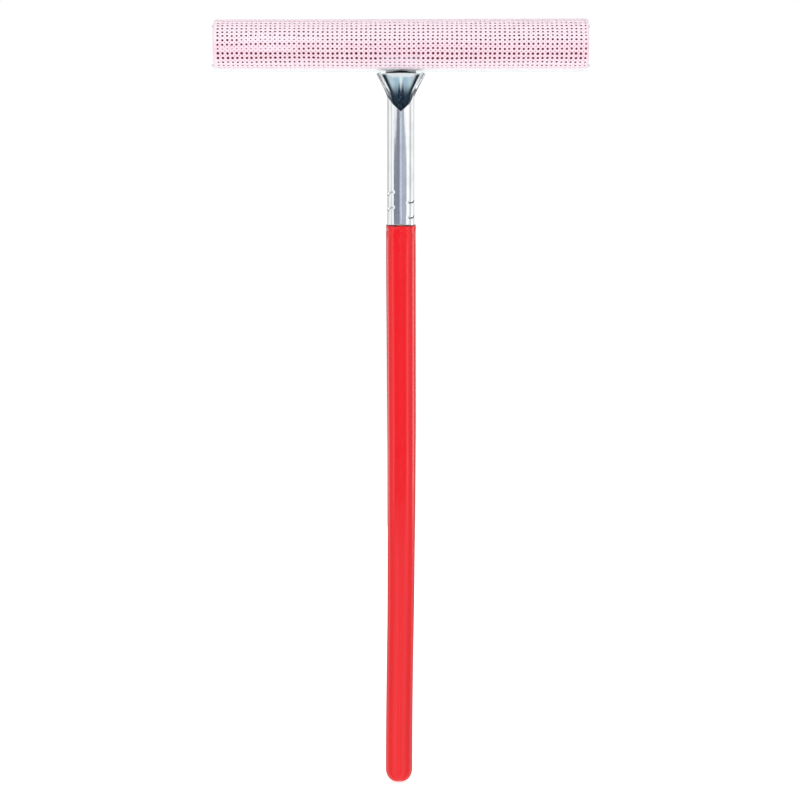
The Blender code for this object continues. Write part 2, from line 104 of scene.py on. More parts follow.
def wave_noise(seed, points, size, count=24):
    """Smooth noise from -1 to 1 for an array of points, with features of about the given size."""
    rng = np.random.default_rng(seed)
    points = np.asarray(points, float)
    total = np.zeros(points.shape[:-1])
    for _ in range(count):
        direction = rng.normal(size=points.shape[-1])
        direction *= rng.uniform(0.5, 1.5) * math.tau / size / np.linalg.norm(direction)
        total += np.sin(points @ direction + rng.uniform(0, math.tau))
    return total / math.sqrt(count) / 1.2


# Materials

# Pale colour of the sheet's cut edge, also laid on the faces as a painted highlight along the rims
RIM_COLOUR = (0.88, 1.00, 0.96)
RIM_SHOWS = (0.0165, 0.0125)     # depths below the socket's mouth where the painted highlight on its rim shows


class Value:
    """A number, colour or vector of a node tree; arithmetic with it adds the nodes that it takes."""

    def __init__(self, nodes, socket):
        self.nodes, self.socket = nodes, socket

    def __add__(self, other):
        return self.nodes.maths("ADD", self, other)

    def __sub__(self, other):
        return self.nodes.maths("SUBTRACT", self, other)

    def __rsub__(self, other):
        return self.nodes.maths("SUBTRACT", other, self)

    def __mul__(self, other):
        return self.nodes.maths("MULTIPLY", self, other)

    def __abs__(self):
        return self.nodes.maths("ABSOLUTE", self)

    def larger(self, other):
        return self.nodes.maths("MAXIMUM", self, other)

    def smaller(self, other):
        return self.nodes.maths("MINIMUM", self, other)

    def fit(self, start, end, first=0.0, last=1.0):
        """Goes smoothly from first to last as the value goes from start to end."""
        return self.nodes.add("ShaderNodeMapRange", {
            "Value": self, "From Min": start, "From Max": end, "To Min": first, "To Max": last},
            interpolation_type="SMOOTHSTEP")


class Nodes:
    """The node tree of a material or of the world, with short calls to add nodes to it."""

    def __init__(self, tree):
        self.tree = tree

    def give(self, socket, value):
        if isinstance(value, Value):
            self.tree.links.new(value.socket, socket)
        else:
            socket.default_value = value

    def node(self, kind, inputs=None, **settings):
        node = self.tree.nodes.new(kind)
        for key, value in settings.items():
            setattr(node, key, value)
        for key, value in (inputs or {}).items():
            self.give(node.inputs[key], value)
        return node

    def add(self, kind, inputs=None, output=0, **settings):
        """What a new node gives at one of its outputs."""
        return Value(self, self.node(kind, inputs, **settings).outputs[output])

    def maths(self, operation, a, b=0.0):
        return self.add("ShaderNodeMath", {0: a, 1: b}, operation=operation)

    def split(self, vector):
        """A vector's X, Y and Z."""
        return [Value(self, out) for out in self.node("ShaderNodeSeparateXYZ", {0: vector}).outputs]

    def mix(self, share, first, second):
        first, second = [c if isinstance(c, Value) else (*c, 1) for c in (first, second)]
        return self.add("ShaderNodeMix", {0: share, 6: first, 7: second}, 2, data_type="RGBA")

    def ramp(self, factor, stops):
        """A stop is its place from 0 to 1 and its colour, or one grey."""
        node = self.node("ShaderNodeValToRGB", {0: factor})
        elements = node.color_ramp.elements
        while len(elements) < len(stops):
            elements.new(0.5)
        for element, (position, *colour) in zip(elements, stops):
            element.position = position
            element.color = (*(colour * 3)[:3], 1)
        return Value(self, node.outputs[0])


class Surface(Nodes):
    """A procedural material with its shader node."""

    def __init__(self, name, colour, roughness, metallic=0.0, **sockets):
        self.mat = bpy.data.materials.new(name)
        self.mat.use_nodes = True
        super().__init__(self.mat.node_tree)
        self.shader = self.tree.nodes["Principled BSDF"]
        self.set("Base Color", (*colour, 1))
        self.set("Roughness", roughness)
        self.set("Metallic", metallic)
        for socket, value in sockets.items():
            self.set(socket.replace("_", " "), value)
        self.place = self.add("ShaderNodeTexCoord", output="Object")

    def set(self, socket, value):
        self.give(self.shader.inputs[socket], value)

    def blend(self, share, first, second):
        """Colours the surface with a mix of two colours."""
        self.set("Base Color", self.mix(share, first, second))

    def paint(self, share, colour):
        """Lays a colour over a share of what the surface shows so far."""
        self.blend(share, Value(self, self.shader.inputs["Base Color"].links[0].from_socket), colour)

    def part(self, axis, vector=None):
        return self.split(vector or self.place)["XYZ".index(axis)]

    def stretched(self, scale):
        return self.add("ShaderNodeMapping", {"Vector": self.place, "Scale": scale})

    def noise(self, size, vector=None, detail=3.0):
        """Noise from 0 to 1 with features of about the given size in metres."""
        return self.add("ShaderNodeTexNoise", {
            "Vector": vector or self.place, "Scale": 1 / size, "Detail": detail, "Roughness": 0.55}, "Fac")

    def cells(self, size, output="Distance", vector=None):
        return self.add("ShaderNodeTexVoronoi", {"Vector": vector or self.place, "Scale": 1 / size}, output)

    def attribute(self, name):
        return self.add("ShaderNodeAttribute", output="Fac", attribute_name=name)

    def bump(self, height, distance):
        """Adds relief from a 0 to 1 height, in metres from lowest to highest."""
        inputs = {"Height": height, "Distance": distance, "Strength": 1.0}
        before = self.shader.inputs["Normal"].links
        if before:
            inputs["Normal"] = Value(self, before[0].from_socket)
        self.set("Normal", self.add("ShaderNodeBump", inputs))


def red_film():
    film = Surface(
        "glossy_red_film", (0.80, 0.002, 0.005), 0.10,
        Specular_IOR_Level=0.5, Coat_Weight=0.15, Coat_Roughness=0.04)
    along = film.stretched((1, 1, 0.06))
    body = film.mix(film.noise(0.006, along).fit(0.35, 0.7), (0.82, 0.0025, 0.0055), (0.76, 0.0010, 0.0040))
    # The film's cut top edge is darker, and with it a painted shade of the gap under the socket's foot; the
    # band rises with the lip at the sides.
    ragged = film.noise(0.004, detail=2) * 0.0006
    rise = abs(film.part("Y")).fit(0, NECK_DIAMETER / 2, LIP_RISE, 0)
    shrunk_edge_and_shade = (film.part("Z") + ragged - rise).fit(HANDLE_TOP - 0.0009, HANDLE_TOP - 0.0005)
    film.blend(shrunk_edge_and_shade, body, (0.13, 0.004, 0.010))
    film.set("Roughness", film.noise(0.004, detail=5).fit(0.3, 0.75, 0.07, 0.17))
    film.bump(film.noise(0.011, along, detail=1), 0.00022)
    film.bump(film.noise(0.0016, detail=2), 0.000012)
    return film.mat


def bare_wood():
    wood = Surface("turned_wood", (0.60, 0.38, 0.19), 0.62, Specular_IOR_Level=0.35)
    grain = wood.stretched((1, 1, 0.035))
    rings = wood.add("ShaderNodeTexWave", {
        "Vector": wood.stretched((1, 1, 0.02)), "Scale": 330.0, "Distortion": 5.0, "Detail": 3.0,
        "Detail Scale": 0.6}, "Fac", wave_type="RINGS", rings_direction="Z")
    tone = wood.mix(rings, (0.66, 0.43, 0.22), (0.45, 0.26, 0.12))
    streaks = wood.noise(0.0009, grain, detail=4).fit(0.35, 0.75)
    wood.blend(streaks * 0.55, tone, (0.36, 0.20, 0.09))
    wood.set("Roughness", streaks.fit(0, 1, 0.52, 0.74))
    wood.bump(wood.noise(0.0007, grain, detail=4), 0.00012)
    return wood.mat


def drawn_steel(name, colour, dark):
    """Bright plated sheet with fine lines from the rolls, which run up the tube."""
    steel = Surface(name, colour, 0.12, metallic=1.0)
    lines = steel.stretched((1, 1, 0.012))
    steel.blend(steel.noise(0.009, detail=4).fit(0.42, 0.72), colour, dark)
    worn = steel.noise(0.003, detail=5).fit(0.5, 0.8, 0, 0.07)
    steel.set("Roughness", steel.noise(0.0006, lines).fit(0.25, 0.8, 0.03, 0.11) + worn)
    steel.bump(steel.noise(0.00045, lines, detail=2), 0.000006)
    steel.bump(steel.noise(0.007, steel.stretched((1, 1, 0.35)), detail=1), 0.000035)
    return steel


def below_mouth(steel):
    """How far below the socket's mouth a place on its sheet lies."""
    return SOCKET_FOOT + SOCKET_LENGTH - steel.part("Z")


def scoop_steel():
    """The sheet's inner face: satin blue-grey steel, with painted highlights at its rolled rim, along the
    middle crease and at the mouth's lip, and painted shade beside the rim, in the dips beside the crease,
    down in the fold and on the tongue seen through the slot."""
    steel = drawn_steel("scoop_steel", (0.78, 0.97, 1.00), (0.72, 0.93, 1.00))
    below, rim, across = below_mouth(steel), steel.attribute("from_rim"), abs(steel.part("X"))
    # Painted shade in the dips on both sides of the middle crease.
    steel.paint(across.fit(0.0004, 0.0018) * across.fit(0.0062, 0.0030), (0.50, 0.68, 0.79))
    # Painted highlight along the middle crease, in the scoop's upper part.
    core = across.fit(0.0009, 0.0002) * below.fit(0.0030, 0.0060) * below.fit(0.0125, 0.0100)
    steel.paint(core, (0.97, 1.00, 1.00))
    # Painted shade down in the fold, reaching higher beside the crease.
    fold = abs(across - 0.0011).fit(0.0003, 0.0012, 0.0032, 0)
    bottom = (below + fold).fit(0.0062, 0.0152)
    # Painted shade in a band inside the rim, slightly wider on the left, faded out at the mouth and weaker
    # deep down.
    band = steel.part("X").fit(-0.002, 0.002, 0.0036, 0.0034)
    flank_shade = (rim - band).fit(0.0006, -0.0014) * below.fit(0.0004, 0.0016)
    flank_shade = flank_shade * below.fit(0.0110, 0.0190, 1, 0.45)
    # Painted highlight across the mouth's lip, kept off the shaded band.
    steel.paint(below.fit(0.0036, 0.0014) * (1.0 - flank_shade), (1.00, 1.00, 1.00))
    # Painted shade on the tongue's face seen through the slot, in an arch that is highest in the middle.
    arch = across.fit(0.0, TONGUE_WIDTH / 2, 0.0018, 0.0003)
    lens = below.fit(0.0002, -0.0001) * (below + arch).fit(-0.0003, 0.0001)
    steel.paint(lens, (0.045, 0.060, 0.070))
    # The painted shade's colour: darkest near the crease, varied by noise.
    fold_shade = steel.mix(across.fit(0.0012, 0.0044), (0.007, 0.022, 0.050), (0.048, 0.096, 0.145))
    fold_shade = steel.mix(steel.noise(0.0011).fit(0.50, 0.62), fold_shade, (0.055, 0.095, 0.130))
    steel.paint(bottom, fold_shade)
    steel.paint(flank_shade, (0.016, 0.034, 0.048))
    # Painted highlight on the rolled rim.
    light = rim.fit(0.0006, 0.0003) * below.fit(*RIM_SHOWS)
    steel.paint(light, RIM_COLOUR)
    steel.set("Metallic", bottom.larger(flank_shade).larger(light).fit(0, 1, 0.35, 0.10))
    steel.set("Specular IOR Level", 0.25)
    steel.set("Roughness", steel.noise(0.002, detail=4).fit(0.3, 0.7, 0.15, 0.22))
    return steel.mat


def edge_steel():
    """The sheet's cut edge: duller and paler than its faces, with painted shade low down in the scoop."""
    edge = drawn_steel("edge_steel", RIM_COLOUR, RIM_COLOUR)
    below = below_mouth(edge)
    # Painted shade on the cut edge, low down in the scoop.
    edge.paint((1.0 - below.fit(*RIM_SHOWS)) * below.fit(0.0350, 0.0310), (0.10, 0.13, 0.17))
    edge.set("Metallic", 0.45)
    edge.set("Roughness", 0.35)
    return edge.mat


def bright_steel():
    """The tube's outside, with painted shade in the pressed thread's groove, heavier on the right, a
    painted dark reflection outside the fishtail's rims, painted shade along a bend beside the lower rim,
    which lies wider on the left, and a painted highlight along the rims."""
    steel = drawn_steel("bright_steel", (0.91, 0.92, 0.93), (0.82, 0.84, 0.86))
    below, rim, x = below_mouth(steel), steel.attribute("from_rim"), steel.part("X")
    # Painted shade in the thread's groove, heavier on the right than on the left.
    groove_shade = steel.attribute("groove").fit(0.30, 0.85) * x.fit(-0.004, 0.004, 0.20, 1.0)
    steel.paint(groove_shade, (0.06, 0.07, 0.08))
    # Painted dark reflection on the outside beside the fishtail's rims near the mouth, broken up by noise.
    pressed = rim.fit(-0.0012, -0.0023) * rim.fit(-0.0100, -0.0070) * below.fit(0.0160, 0.0128)
    steel.paint(pressed * steel.noise(0.0010).fit(0.40, 0.58, 0.45, 1), (0.30, 0.33, 0.33))
    # Painted shade beside the lower rim: a grey zone on one side of the bend and a dark line along it,
    # wider on the left.
    past = rim + below.fit(0.0230, 0.0125) * x.fit(-0.004, 0.004, 0.0036, 0.0018)
    low = rim.fit(0.0070, 0.0060) * below.fit(0.0255, 0.0235) * below.fit(0.0110, 0.0135)
    steel.paint(low * past.fit(-0.0003, 0.0003), (0.24, 0.27, 0.29))
    bend = low * abs(past).fit(0.0010, 0.0003)
    steel.paint(bend, (0.035, 0.045, 0.055))
    # Painted highlight along the rims.
    light = rim.fit(-0.0010, -0.0007) * rim.fit(0.0050, 0.0040) * below.fit(*RIM_SHOWS)
    steel.paint(light, RIM_COLOUR)
    steel.set("Metallic", (bend * 0.8).larger(light).fit(0, 1, 1.0, 0.30))
    return steel.mat


def zinc_steel():
    zinc = Surface("zinc_steel", (0.86, 0.87, 0.88), 0.30, metallic=0.6)
    along = zinc.stretched((0.04, 1, 1))
    patch = zinc.part("X", zinc.cells(0.00625, "Color"))
    zinc.blend(patch.fit(0, 1), (0.93, 0.94, 0.94), (0.85, 0.86, 0.87))
    zinc.set("Roughness", zinc.noise(0.0008, along).fit(0.25, 0.8, 0.22, 0.36) + patch.fit(0, 1, 0, 0.06))
    zinc.bump(zinc.noise(0.0006, along, detail=2), 0.000008)
    return zinc.mat


def black_rubber():
    rubber = Surface("black_rubber", (0.018, 0.018, 0.020), 0.5, Specular_IOR_Level=0.4)
    dust = rubber.noise(0.012, rubber.stretched((0.25, 1, 1)), detail=5).fit(0.48, 0.8)
    rubber.blend(dust, (0.016, 0.016, 0.018), (0.050, 0.049, 0.047))
    rubber.set("Roughness", rubber.noise(0.003, detail=5).fit(0.3, 0.75, 0.40, 0.62))
    rubber.bump(rubber.noise(0.0005, rubber.stretched((0.08, 1, 1))), 0.00002)
    rubber.bump(rubber.noise(0.0002, detail=2), 0.00001)
    return rubber.mat


def red_foam():
    foam = Surface("crimson_foam", (0.15, 0.042, 0.066), 0.95, Specular_IOR_Level=0.2)
    pores, small = foam.cells(0.0011), foam.cells(0.00055)
    skin = foam.mix(foam.noise(0.01).fit(0.35, 0.7), (0.215, 0.046, 0.080), (0.155, 0.035, 0.061))
    # Painted shade in the pores: their hollows are coloured much darker than the skin.
    tone = foam.mix(pores.fit(0.12, 0.5).smaller(small.fit(0.05, 0.4)), (0.050, 0.011, 0.019), skin)
    # Painted shade: round the tongue and low in the channel the foam is coloured a cool grey, for the
    # shaded inside of the slot.
    slot_shade = abs(foam.part("X")).fit(0.0140, 0.0125)
    slot_shade = slot_shade * foam.part("Z").fit(CHANNEL_LOW.z + 0.006, CHANNEL_LOW.z + 0.004)
    foam.blend(slot_shade, tone, (0.20, 0.23, 0.26))
    foam.bump(pores, 0.0006)
    foam.bump(small, 0.00025)
    return foam.mat


def pale_net():
    """Pale threads, with a painted pink cast of the foam showing through, in uneven patches
    along a band below the crown.
    """
    net = Surface(
        "pale_net", (0.97, 0.82, 0.90), 0.42,
        Specular_IOR_Level=0.4, Sheen_Weight=0.15, Sheen_Roughness=0.4)
    patches = net.noise(0.014, net.stretched((0.4, 1, 1))).fit(0.25, 0.6, 0.45, 1)
    # Painted pink cast of the red foam showing through the threads, in a band below the crown.
    painted_foam_cast = abs(net.part("Z") - (HEAD_Z + NET_TINT_MIDDLE)).fit(NET_TINT_FAR, NET_TINT_NEAR) * patches
    net.blend(painted_foam_cast, (0.97, 0.80, 0.87), (0.97, 0.69, 0.78))
    net.set("Roughness", net.noise(0.0015, detail=4).fit(0.3, 0.7, 0.34, 0.55))
    net.bump(net.cells(0.00022, vector=net.stretched((1, 0.35, 0.35))), 0.00005)
    return net.mat


# Mesh helpers

SOFT_EDGE = 0.00018


def placed(name, data):
    obj = bpy.data.objects.new(name, data)
    bpy.context.scene.collection.objects.link(obj)
    return obj


def mesh_object(name, verts, faces, materials):
    mesh = bpy.data.meshes.new(name)
    mesh.from_pydata([tuple(v) for v in verts], [], [tuple(f) for f in faces])
    obj = placed(name, mesh)
    for mat in materials:
        mesh.materials.append(mat)
    mesh.shade_smooth()
    return obj


def grid_faces(rows, columns, wrap=False):
    """Quads of a grid of points that is numbered row by row, closed round its columns if asked."""
    faces = []
    for i in range(rows - 1):
        for j in range(columns if wrap else columns - 1):
            k = (j + 1) % columns
            faces.append((i * columns + j, i * columns + k, (i + 1) * columns + k, (i + 1) * columns + j))
    return faces


def applied(obj):
    """Puts the modifiers' result in the object's own mesh."""
    graph = bpy.context.evaluated_depsgraph_get()
    mesh = bpy.data.meshes.new_from_object(obj.evaluated_get(graph))
    obj.modifiers.clear()
    obj.data = mesh
    return obj


def outwards(obj):
    bm = bmesh.new()
    bm.from_mesh(obj.data)
    bmesh.ops.recalc_face_normals(bm, faces=bm.faces)
    bm.to_mesh(obj.data)
    bm.free()
    return obj


def stacked(name, rings, materials=()):
    """A closed body from rings of points one behind the other, capped at both ends."""
    rings = np.asarray(rings, float)
    rows, count = rings.shape[:2]
    caps = [tuple(range(start, start + count)) for start in (0, (rows - 1) * count)]
    faces = grid_faces(rows, count, wrap=True) + caps
    return outwards(mesh_object(name, rings.reshape(-1, 3), faces, materials))


def revolved(name, profile, materials, steps=96, change=None):
    """A body of revolution about Z from (radius, height) points, from its bottom to its top."""
    angles = np.arange(steps) * math.tau / steps
    radius, height = np.array(profile[1:-1], float).T[:, :, None]
    points = joined(radius * np.cos(angles), radius * np.sin(angles), height)
    if change:
        points = change(points)
    faces = grid_faces(len(points), steps, wrap=True)
    verts = list(points.reshape(-1, 3)) + [(0, 0, profile[0][1]), (0, 0, profile[-1][1])]
    bottom, top = len(verts) - 2, len(verts) - 1
    last = bottom - steps
    for j in range(steps):
        k = (j + 1) % steps
        faces.append((k, j, bottom))
        faces.append((last + j, last + k, top))
    return outwards(mesh_object(name, verts, faces, materials))


def arc(middle, radii, start, end, steps):
    """Points of an elliptic arc as (a, b), with angles in degrees."""
    angles = np.radians(np.linspace(start, end, steps + 1))
    return [(middle[0] + radii[0] * math.cos(a), middle[1] + radii[1] * math.sin(a)) for a in angles]


def solidify(obj, thickness, inner=0, rim=0):
    modifier = obj.modifiers.new("sheet", "SOLIDIFY")
    modifier.thickness = thickness
    modifier.offset = 0
    modifier.use_even_offset = True
    modifier.material_offset = inner
    modifier.material_offset_rim = rim


def soften_edges(obj, width=SOFT_EDGE, segments=2, angle=50):
    modifier = obj.modifiers.new("edges", "BEVEL")
    modifier.width = width
    modifier.segments = segments
    modifier.limit_method = "ANGLE"
    modifier.angle_limit = math.radians(angle)


def even_normals(obj):
    """Lets the large flat faces set the normals, so that cuts and bends leave no streaks on them."""
    modifier = obj.modifiers.new("normals", "WEIGHTED_NORMAL")
    modifier.keep_sharp = True
    applied(obj)


def hard_edges(obj, angle):
    """Smooth shading, with the edges that turn by more than an angle left hard."""
    obj.data.shade_smooth()
    obj.data.set_sharp_from_angle(angle=math.radians(angle))


def cut_with(obj, cutters):
    """Cuts the cutters' bodies out of the object and removes them."""
    for cutter in cutters:
        modifier = obj.modifiers.new("cut", "BOOLEAN")
        modifier.operation = "DIFFERENCE"
        modifier.object = cutter
        applied(obj)
        bpy.data.objects.remove(cutter)


# Handle: the film is shrunk over the wood and ends in a slightly wrinkled lip

END_DIAMETER = 0.0181
END_ROUND = 0.0084
END_FLAT = 0.0056
NECK_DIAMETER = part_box("handle_sleeve")[1].x * 2
TAPER_SHARES = ((0.29, 0.0), (0.43, 0.33), (0.58, 0.54), (0.73, 0.77), (0.92, 1.0))
BOW = (
    (0.0, -0.00130), (0.10, -0.00112), (0.20, -0.00068), (0.31, -0.00008), (0.42, 0.00022),
    (0.52, 0.00036), (0.62, 0.00040), (0.75, 0.00026), (0.88, 0.00008), (1.0, 0.0))
LIP_HEIGHT = 0.0036
LIP_RISE = 0.0019           # of the film's lip at the sides, above its front and back
LIP_ROUND = 0.00022
FINE_TOP = 0.0060           # how much of the film's top has closer rows of points
SHOULDER_EASE = 0.0002
TENON_CHAMFER = 0.0014
TENON_RADIUS = 0.00785
THREAD_PITCH = 0.0103
THREAD_FOOT = 0.0029        # height above the socket's foot where the groove crosses the front
THREAD_TURNS_UP = 2.02
THREAD_SKEW = 0.08          # how much steeper the groove climbs at the front
THREAD_HALF_WIDTH = 0.0010
THREAD_DEPTH = 0.00040
THREAD_FADE = (math.radians(22), math.radians(48))     # angles from the seam where the groove deepens


def handle_radius(height):
    heights, values = np.transpose(TAPER_SHARES)
    reached = np.interp(height, heights * HANDLE_TOP, values)
    return END_DIAMETER / 2 + (NECK_DIAMETER - END_DIAMETER) / 2 * reached


def bowed(points):
    """The stick isn't quite straight: it sways sideways by up to about a millimetre."""
    shares, offsets = np.transpose(BOW)
    points[..., 0] += smooth_curve(points[..., 2], shares * HANDLE_TOP, offsets)
    return points


def handle_side(inset, top):
    """(radius, height) points from the middle of the end up the side, inset from the film."""
    flat = END_FLAT / 2
    radii = (END_DIAMETER / 2 - inset - flat, END_ROUND - inset)
    points = [(0, inset)] + arc((flat, END_ROUND), radii, -90, 0, 18)
    points += [(handle_radius(z) - inset, z) for z in np.linspace(END_ROUND, top, 130)[1:]]
    return points


def round_stick(angle, height):
    """Places for noise that closes round the stick."""
    return joined(np.cos(angle), np.sin(angle), height)


def wrinkled(points):
    """The film's surface: faint ripples along it and a gathered lip at its top."""
    angle, z = np.arctan2(points[..., 1], points[..., 0]), points[..., 2]
    radius = np.hypot(points[..., 0], points[..., 1])
    near_top = smoothstep(HANDLE_TOP - 2 * LIP_HEIGHT, HANDLE_TOP - 0.3 * LIP_HEIGHT, z)
    puckers = wave_noise(5, round_stick(angle, z / 0.009), 0.9)
    ripples = wave_noise(6, round_stick(angle, z / 0.05), 1.6)
    side = smoothstep(END_ROUND, 3 * END_ROUND, z)
    radius = radius * (1 + side * 0.0035 * ripples) - near_top * 0.00005 * (1 + puckers)
    folds = wave_noise(8, round_stick(angle, z / 0.008), 0.55)
    radius = radius + smoothstep(HANDLE_TOP - 0.0085, HANDLE_TOP - 0.0030, z) * 0.00009 * folds
    roll = np.exp(-((z - HANDLE_TOP + 0.42 * LIP_HEIGHT) / (0.30 * LIP_HEIGHT)) ** 2)
    radius = radius + 0.00018 * roll * (1 + 1.5 * puckers)
    waves = wave_noise(7, round_stick(angle, z)[..., :2], 1.1)
    drop = smoothstep(HANDLE_TOP - 0.0012, HANDLE_TOP, z) * 0.00016 * (1 + waves)
    rise = LIP_RISE * near_top * (1.01 - np.sqrt(np.sin(angle) ** 2 + 0.0001))
    return bowed(joined(radius * np.cos(angle), radius * np.sin(angle), z - drop + rise))


def make_sleeve(film):
    low, high, radius = HANDLE_TOP - FINE_TOP, HANDLE_TOP - LIP_ROUND, handle_radius(HANDLE_TOP)
    profile = handle_side(0, low) + [(handle_radius(z), z) for z in np.linspace(low, high, 22)[1:]]
    profile += arc((radius - LIP_ROUND, high), (LIP_ROUND, LIP_ROUND), 0, 90, 4)[1:]
    profile += [(radius - SLEEVE_WALL, HANDLE_TOP)] + handle_side(SLEEVE_WALL, HANDLE_TOP)[::-1]
    sleeve = revolved("film_sleeve", profile, [film], change=wrinkled)
    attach(sleeve, "handle")
    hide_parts("handle_sleeve")


def thread_depth(angle, height):
    """How deep the groove is at an angle from the front and a height above the socket's foot."""
    helix = angle / math.tau + THREAD_SKEW * np.sin(angle)
    front = (height - THREAD_FOOT) / THREAD_PITCH - helix
    nearest = np.round(front)
    away = np.abs(front - nearest) * THREAD_PITCH
    turns = nearest + helix
    ends = smoothstep(0.02, 0.18, turns) * (1 - smoothstep(THREAD_TURNS_UP - 0.12, THREAD_TURNS_UP, turns))
    ends = ends * smoothstep(*THREAD_FADE, np.abs(angle))
    return THREAD_DEPTH * ends * (0.5 + 0.5 * np.cos(np.clip(away / THREAD_HALF_WIDTH, 0, 1) * math.pi))


def threaded(points):
    """Presses the thread's groove into the tenon."""
    x, y, z = np.moveaxis(points, -1, 0)
    radius, angle = np.hypot(x, y), np.arctan2(x, -y)
    on_tenon = (z > HANDLE_TOP + GAP) & (radius > 0.9 * TENON_RADIUS)
    worn = wave_noise(11, round_stick(angle, z / 0.02), 0.8)
    pressed = 0.7 * thread_depth(angle, z - SOCKET_FOOT) + 0.00006 * (1 + worn)
    radius = radius - np.where(on_tenon, pressed, 0)
    return bowed(joined(radius * np.sin(angle), -radius * np.cos(angle), z))


def make_core(wood):
    side = handle_side(SLEEVE_WALL + GAP, HANDLE_TOP)
    shoulder = [(side[-1][0] - SHOULDER_EASE, HANDLE_TOP), (TENON_RADIUS + SHOULDER_EASE, HANDLE_TOP)]
    flat, high = TENON_RADIUS - TENON_CHAMFER, CORE_TOP - TENON_CHAMFER
    tenon = [(TENON_RADIUS, z) for z in np.linspace(HANDLE_TOP + SHOULDER_EASE, high, 120)]
    end = arc((flat, high), (TENON_CHAMFER, TENON_CHAMFER), 0, 90, 6)[1:]
    end += [(flat * share, CORE_TOP) for share in (0.66, 0.33, 0)]
    core = revolved("wooden_stick", side + shoulder + tenon + end, [wood], change=threaded)
    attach(core, "handle")
    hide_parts("handle_core")


# Socket: the rolled sheet with its fishtail, scoop, pressed thread and tongue

SOCKET_DIAMETER = 0.0183
SOCKET_LENGTH = 0.1050
SEAM_WIDTH = 0.00004
SCOOP_LENGTH = 0.0288
SCOOP_ANGLE = math.radians(132)
FLARE_LENGTH = 0.0186
FLARE_SOFTNESS_SHARE = 0.15
MOUTH_WIDTH = 0.0333
MOUTH_BACK = 0.0054
MOUTH_CURL_DEPTH = 0.0028
MOUTH_CURL_ANGLE = math.radians(56)
SHOULDER_DROP = 0.0013
TONGUE_WIDTH = 0.0210
TONGUE_STEP = 0.0012
MOUTH_FLAT_SHARE = 0.375
LIP_REACH = 0.0030
LIP_FORWARD = 0.0006
SCOOP_APEX = SOCKET_LENGTH - SCOOP_LENGTH
SHEET_COLUMNS = 48          # of the sheet's grid, on each side of the middle
TUBE_RADIUS = (SOCKET_DIAMETER - SOCKET_SHEET) / 2


def flare_share(height):
    share = max(0, height - SOCKET_LENGTH + FLARE_LENGTH) / FLARE_LENGTH
    soft = FLARE_SOFTNESS_SHARE
    return (math.hypot(share, soft) - soft) / (math.hypot(1, soft) - soft)


def seam_angle(height):
    closed = math.pi - SEAM_WIDTH / 2 / TUBE_RADIUS
    share = min(1, max(0, (height - SCOOP_APEX) / (SCOOP_LENGTH - FLARE_LENGTH)))
    return closed + (SCOOP_ANGLE - closed) * math.sin(math.pi / 2 * share)


def mouth_point(side):
    flat = TONGUE_WIDTH / 2
    if abs(side) <= MOUTH_FLAT_SHARE:
        return flat * side / MOUTH_FLAT_SHARE, MOUTH_BACK
    reach = (MOUTH_WIDTH - SOCKET_SHEET) / 2 - flat
    share = (abs(side) - MOUTH_FLAT_SHARE) / (1 - MOUTH_FLAT_SHARE)
    angle = (math.pi / 2 + MOUTH_CURL_ANGLE) * share
    x = flat + reach * math.sin(angle)
    y = MOUTH_BACK - MOUTH_CURL_DEPTH * (1 - math.cos(angle))
    return math.copysign(x, side), y


def socket_point(side, height):
    """A point of the sheet's middle face, with side from -1 to 1 from edge to edge."""
    share = flare_share(height)
    angle = side * seam_angle(height)
    from_front = math.copysign(math.pi, angle) - angle
    radius = TUBE_RADIUS - (1 - share) * thread_depth(from_front, height)
    mouth_x, mouth_y = mouth_point(side)
    x = radius * math.sin(angle) * (1 - share) + mouth_x * share
    y = radius * math.cos(angle) * (1 - share) + mouth_y * share
    if abs(side) <= MOUTH_FLAT_SHARE:
        near_lip = max(0, 1 - (SOCKET_LENGTH - height) / LIP_REACH)
        y -= LIP_FORWARD * near_lip ** 2 * math.cos(side / MOUTH_FLAT_SHARE * math.pi / 2) ** 0.5
    outside = max(0, abs(mouth_x) - TONGUE_WIDTH / 2) / ((MOUTH_WIDTH - TONGUE_WIDTH) / 2)
    return x, y, height - SHOULDER_DROP * share * outside ** 2


def socket_rows():
    """Heights of the sheet's rows: close together at the thread and the scoop."""
    thread_top = THREAD_FOOT + (THREAD_TURNS_UP + 0.5) * THREAD_PITCH
    ends = (0, thread_top, SCOOP_APEX - 0.002, SOCKET_LENGTH)
    return [0] + [
        height for low, high, count in zip(ends, ends[1:], (74, 14, 76))
        for height in np.linspace(low, high, count)[1:]]


def mark_socket(mesh):
    """Stores how far inside the scoop's rim each point lies, and how deep in the thread's groove."""
    points = np.array([tuple(vert.co) for vert in mesh.vertices])
    rim = np.array([socket_point(1, height) for height in np.linspace(SCOOP_APEX, SOCKET_LENGTH, 90)])
    height = points[:, 2] - SOCKET_FOOT
    from_rim = np.interp(height, rim[:, 2], np.abs(rim[:, 0])) - np.abs(points[:, 0])
    from_rim = np.where(height < rim[0, 2] - 0.001, 0.01, from_rim)
    groove = thread_depth(np.arctan2(points[:, 0], -points[:, 1]), height) / THREAD_DEPTH
    for name, values in (("from_rim", from_rim), ("groove", groove)):
        layer = mesh.attributes.new(name, "FLOAT", "POINT")
        layer.data.foreach_set("value", values)


